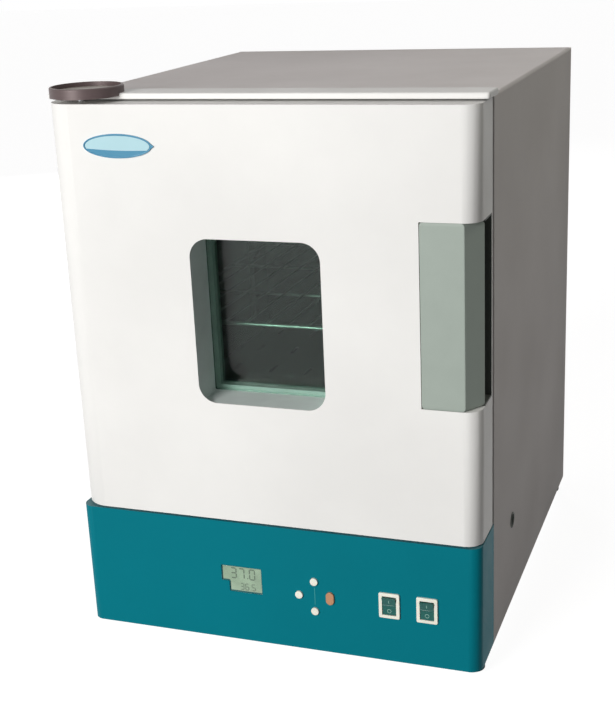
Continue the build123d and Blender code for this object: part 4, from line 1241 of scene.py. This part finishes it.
@dataclass
class ControlPanel(SubAssembly):
    """Teal panel with the display, four push buttons and two rockers."""

    reading: str = "37.0"
    setting: str = "36.5"
    lift: float = 0.05 * MM
    step: float = 9.6 * MM
    row_height: float = 20.4 * MM

    def build(self) -> None:
        """Makes the numbers of the display, the cross line and the rockers' marks."""
        self.numbers()
        self.cross_line()
        for place, body in (("power", Body.ROCKER_POWER), ("lamp", Body.ROCKER_LAMP)):
            self.rocker_marks(place, body)

    def numbers(self) -> None:
        """The two numbers, on the liquid crystal under the clear window."""
        low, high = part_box("display_window")
        tall, small = 13.0 * MM, 8.0 * MM
        bars = digits(self.reading, low.x + 12 * MM, high.z - self.row_height + 4.0 * MM, tall)
        bars += digits(self.setting, low.x + self.step + 14 * MM, low.z + 3.2 * MM, small)
        mesh = plates("display_numbers", bars, self.lift)
        mesh.transform(Matrix.Translation((0, high.y, 0)))
        self.piece("display_numbers", mesh, Slot.DISPLAY_LCD, SEGMENT_DARK)

    def cross_line(self) -> None:
        """Fine printed line between the upper and the lower button."""
        panel_low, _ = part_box("control_fascia")
        up_low, up_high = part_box("button_up")
        down_low, down_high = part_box("button_down")
        x = (up_low.x + up_high.x) / 2
        half = 0.35 * MM
        z0, z1 = down_high.z + 1.5 * MM, up_low.z - 1.5 * MM
        outline = [(x - half, z0), (x + half, z0), (x + half, z1), (x - half, z1)]
        mesh = plates("button_line", [outline], self.lift)
        mesh.transform(Matrix.Translation((0, panel_low.y, 0)))
        self.piece("button_line", mesh, Slot.PANEL_TEAL, MouldedFinish(srgb(60, 150, 150), wear=0.0, dust=0.0))

    def rocker_marks(self, place: str, body: Body) -> None:
        """A bar and a ring on the two halves of a rocker, laid on its tilted faces.

        Args:
            place: which switch.
            body: the rocker's body.
        """
        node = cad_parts[f"rocker_{place}"]
        low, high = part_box(f"rocker_{place}")
        x, z = (low.x + high.x) / 2, (low.z + high.z) / 2
        bar = [(-0.4 * MM, -2.4 * MM), (0.4 * MM, -2.4 * MM), (0.4 * MM, 2.4 * MM), (-0.4 * MM, 2.4 * MM)]
        mark_bar = plates("bar", [bar], 2 * self.lift)
        ring_profile = [(-0.35 * MM, 0.0), (0.35 * MM, 0.0), (0.35 * MM, -2 * self.lift), (-0.35 * MM, -2 * self.lift)]
        mark_ring = ring_sweep("ring", rounded_loop(4.4 * MM, 4.4 * MM, 2.2 * MM), ring_profile, Vector((0, 0, 0)))
        for kind, mesh, rise in (("on", mark_bar, 6.4 * MM), ("off", mark_ring, -6.4 * MM)):
            hit, spot, normal, _ = node.ray_cast(Vector((x, low.y - 0.05, z + rise)), Vector((0, 1, 0)))
            if not hit:
                LOG.warning("no rocker face under the %s mark", kind)
                continue
            turn = Vector((0, -1, 0)).rotation_difference(normal).to_matrix().to_4x4()
            mesh.transform(Matrix.Translation(spot) @ turn)
            self.piece(f"rocker_{place}_mark_{kind}", mesh, Slot.CREAM_PLASTIC, MARK_WHITE, body=body)


@dataclass
class Door(SubAssembly):
    """Thick door with its window, gasket, grip and badge."""

    seal_width: float = 14 * MM
    seal_corner: float = 10 * MM
    badge_rim: float = 1.4 * MM
    badge_tip: float = 1.6 * MM
    inlay_thickness: float = 0.5 * MM

    def build(self) -> None:
        """Makes the bellows gasket and the badge's inlay."""
        self.gasket()
        self.badge_inlay()

    def gasket(self) -> None:
        """Magnetic seal: a foot on the door, a thin neck and a hollow nose against the cabinet."""
        low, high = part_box("door_gasket")
        width, height = high.x - low.x - self.seal_width, high.z - low.z - self.seal_width
        centre = (low + high) / 2
        half = self.seal_width / 2
        deep = high.y - low.y
        shape = [
            (-1.0, 0.0), (1.0, 0.0), (1.0, 0.20), (0.94, 0.24), (0.48, 0.28), (0.38, 0.36), (0.76, 0.46),
            (0.90, 0.58), (0.94, 0.74), (0.86, 0.90), (0.66, 0.99), (0.3, 1.0), (0.0, 0.95), (-0.3, 1.0),
            (-0.66, 0.99), (-0.86, 0.90), (-0.94, 0.74), (-0.90, 0.58), (-0.76, 0.46), (-0.38, 0.36),
            (-0.48, 0.28), (-0.94, 0.24), (-1.0, 0.20),
        ]
        profile = [(half * out, low.y + deep * depth) for out, depth in shape]
        mesh = ring_sweep("door_seal", rounded_loop(width, height, self.seal_corner), profile, centre)
        self.piece("door_seal", mesh, Slot.GREY_RUBBER, stands_for=["door_gasket"])

    def badge_inlay(self) -> None:
        """Pale enamel field: the upper part of the oval over a nearly level lower edge."""
        low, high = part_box("badge_plate")
        centre = (low + high) / 2 - Vector((self.badge_tip, 0, 0))
        a = (high.x - low.x) / 2 - self.badge_tip - 1.6 * self.badge_rim
        b = (high.z - low.z) / 2 - 1.6 * self.badge_rim
        steps = 36
        start, end = math.radians(-24), math.radians(196)
        outline = []
        for i in range(steps + 1):
            angle = start + (end - start) * i / steps
            outline.append((centre.x + a * math.cos(angle), centre.z + b * math.sin(angle)))
        left, right = outline[-1], outline[0]
        for i in range(1, 12):
            share = i / 12
            sag = 0.10 * b * math.sin(math.pi * share)
            outline.append((left[0] + (right[0] - left[0]) * share, left[1] + (right[1] - left[1]) * share - sag))
        mesh = plates("badge_inlay", [outline], self.inlay_thickness)
        mesh.transform(Matrix.Translation((0, (low.y + high.y) / 2, 0)))
        self.piece("badge_inlay", mesh, Slot.BADGE_BLUE, BADGE_PALE)


@dataclass
class Studio:
    """Floor, backdrop light, lamps and the camera at the photograph's angle."""

    focal: float = 65.53
    camera_place: tuple[float, float, float] = (0.5357, -1.5841, 0.8287)
    yaw: float = 20.3375
    pitch: float = 18.0837
    roll: float = 2.6
    floor_half: float = 14.0
    floor_glow: float = 0.92
    key_power: float = 147.0
    key_place: tuple[float, float, float] = (-1.25, -3.55, 1.35)
    key_size: float = 1.8
    side_power: float = 2.4
    side_place: tuple[float, float, float] = (1.0, 0.1, 1.5)
    side_size: float = 0.5
    roof_power: float = 2.0
    roof_place: tuple[float, float, float] = (-0.05, 0.1, 2.1)
    back_power: float = 42.0
    back_place: tuple[float, float, float] = (-1.6, 3.0, 0.3)
    back_size: float = 0.6
    ambient: float = 0.09

    def build(self) -> None:
        """Makes the floor, the world, the lamps and the camera."""
        self.floor()
        self.world()
        self.lamp("key_lamp", self.key_place, self.key_power, self.key_size, (1.0, 0.99, 0.975))
        self.lamp("side_lamp", self.side_place, self.side_power, self.side_size, (1.0, 1.0, 0.86))
        self.lamp("roof_lamp", self.roof_place, self.roof_power, self.side_size, (1.0, 0.93, 0.95))
        self.lamp("back_lamp", self.back_place, self.back_power, self.back_size, (1.0, 0.99, 0.98))
        self.camera()

    def floor(self) -> None:
        """Large pale floor that keeps the shadow."""
        bm = bmesh.new()
        bmesh.ops.create_grid(bm, x_segments=8, y_segments=8, size=self.floor_half)
        mesh = mesh_from("studio_floor", bm)
        made = bpy.data.objects.new("studio_floor", mesh)
        bpy.context.scene.collection.objects.link(made)
        shader = Shader("studio_floor_finish")
        tone = shader.effect(Effect.MOTTLE, Scale=0.8)["Shade"]
        colour = shader.blend(tone, grey(0.23), grey(0.25))
        shader.set(Base_Color=colour, Roughness=0.9, Specular_IOR_Level=0.1)
        strength = shader.calc("MULTIPLY", shader.looked_at(), self.floor_glow)
        glow = shader.node("ShaderNodeEmission", {"Color": grey(1.0), "Strength": strength})
        feeds = {0: shader.surface.outputs[0], 1: glow.outputs[0]}
        shader.feed(shader.out.inputs["Surface"], shader.node("ShaderNodeAddShader", feeds).outputs[0])
        mesh.materials.append(shader.material)

    def world(self) -> None:
        """White backdrop for what sees it, and soft dim light for the object."""
        world = bpy.data.worlds.new("studio")
        world.use_nodes = True
        bpy.context.scene.world = world
        wiring = Wiring(world.node_tree)
        back = world.node_tree.nodes["Background"]
        seen = wiring.looked_at()
        wiring.feed(back.inputs["Color"], wiring.blend(seen, (1.0, 0.92, 0.94, 1.0), grey(1.0)))
        wiring.feed(back.inputs["Strength"], wiring.spread(seen, 0.0, 1.0, self.ambient, 1.0))

    def lamp(self, name: str, place: tuple[float, float, float], power: float, size: float,
             colour: tuple[float, float, float]) -> None:
        """Adds a soft lamp that looks at the middle of the object.

        Args:
            name: its name.
            place: where it hangs.
            power: its power in watts.
            size: its side in metres.
            colour: its light's colour.
        """
        light = bpy.data.lights.new(name, "AREA")
        light.energy = power
        light.size = size
        light.color = colour
        made = bpy.data.objects.new(name, light)
        target = (CAD_BOUNDS[0] + CAD_BOUNDS[1]) / 2
        aim = (target - Vector(place)).to_track_quat("-Z", "Y").to_matrix().to_4x4()
        made.matrix_world = Matrix.Translation(place) @ aim
        bpy.context.scene.collection.objects.link(made)

    def camera(self) -> None:
        """Camera with the photograph's yaw, pitch and roll."""
        yaw, pitch, roll = (math.radians(angle) for angle in (self.yaw, self.pitch, self.roll))
        ahead = Vector((-math.sin(yaw) * math.cos(pitch), math.cos(yaw) * math.cos(pitch), -math.sin(pitch)))
        level = ahead.cross(Vector((0, 0, 1))).normalized()
        sunk = ahead.cross(level)
        right = math.cos(roll) * level + math.sin(roll) * sunk
        down = math.cos(roll) * sunk - math.sin(roll) * level
        data = bpy.data.cameras.new("photo_camera")
        data.lens = self.focal
        data.sensor_width = 36.0
        made = bpy.data.objects.new("photo_camera", data)
        turn = Matrix((right, -down, -ahead)).transposed().to_4x4()
        made.matrix_world = Matrix.Translation(self.camera_place) @ turn
        bpy.context.scene.collection.objects.link(made)
        bpy.context.scene.camera = made


def sub_assemblies() -> list[SubAssembly]:
    """The sub-assemblies in the order in which they are built."""
    shell = {
        "cabinet_wrap": 0.0, "front_frame": 0.3 * MM, "base_plate": 0.0, "rear_panel": 0.3 * MM,
        "feet": 0.6 * MM, "bay_divider": 0.0, "port_sleeve": 0.3 * MM, "power_inlet": 0.3 * MM,
        "inlet_blades": 0.1 * MM, "power_supply": 0.3 * MM, "heater_relay": 0.2 * MM,
        "terminal_block": 0.3 * MM, "rear_screws": 0.0, "foot_screws": 0.0,
    }
    chamber = {
        "chamber_liner": 0.0, "chamber_insulation": 0.0, "floor_plate": 0.2 * MM, "heater_element": 0.0,
        "shelf_rails": 0.2 * MM, "temperature_probe": 0.0, "lamp_socket": 0.4 * MM, "lamp_lens": 0.0,
        "wire_shelf_lower": 0.0, "wire_shelf_upper": 0.0,
    }
    rail = {
        "top_visor": 0.3 * MM, "visor_screws": 0.0, "hinge_cap": 0.0, "upper_hinge_pin": 0.0,
        "lower_hinge_bracket": 0.3 * MM, "lower_hinge_pin": 0.0, "bracket_screws": 0.0,
    }
    panel = {
        "control_fascia": 0.4 * MM, "display_window": 0.2 * MM, "display_module": 0.0, "tact_switches": 0.0,
        "control_board": 0.0, "switch_housing_power": 0.0, "switch_housing_lamp": 0.0,
        "rocker_power": 0.3 * MM, "rocker_lamp": 0.3 * MM, "button_up": 0.0, "button_down": 0.0,
        "button_left": 0.0, "button_set": 0.0,
    }
    door = {
        "door_skin": 0.5 * MM, "door_liner": 0.4 * MM, "door_insulation": 0.0, "window_frame": 0.3 * MM,
        "window_glass_outer": 0.3 * MM, "window_glass_inner": 0.3 * MM, "window_spacer": 0.0,
        "window_bead": 0.3 * MM, "door_gasket": 0.0, "handle_grip": 3.5 * MM, "handle_pocket": 0.4 * MM,
        "handle_screws": 0.0, "door_bush_upper": 0.0, "door_bush_lower": 0.0, "badge_plate": 0.2 * MM,
    }
    return [
        CabinetShell(Body.CABINET, shell),
        Chamber(Body.CABINET, chamber),
        TopRail(Body.CABINET, rail),
        ControlPanel(Body.CABINET, panel),
        Door(Body.DOOR, door),
    ]


def main() -> None:
    """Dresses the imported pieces, adds the fine ones and sets up the studio."""
    logging.basicConfig(level=logging.INFO, format="%(name)s: %(message)s")
    for assembly in sub_assemblies():
        assembly.dress()
        assembly.build()
    Studio().build()
    bpy.context.scene.view_settings.view_transform = "Standard"


if __name__ == "__main__":
    main()
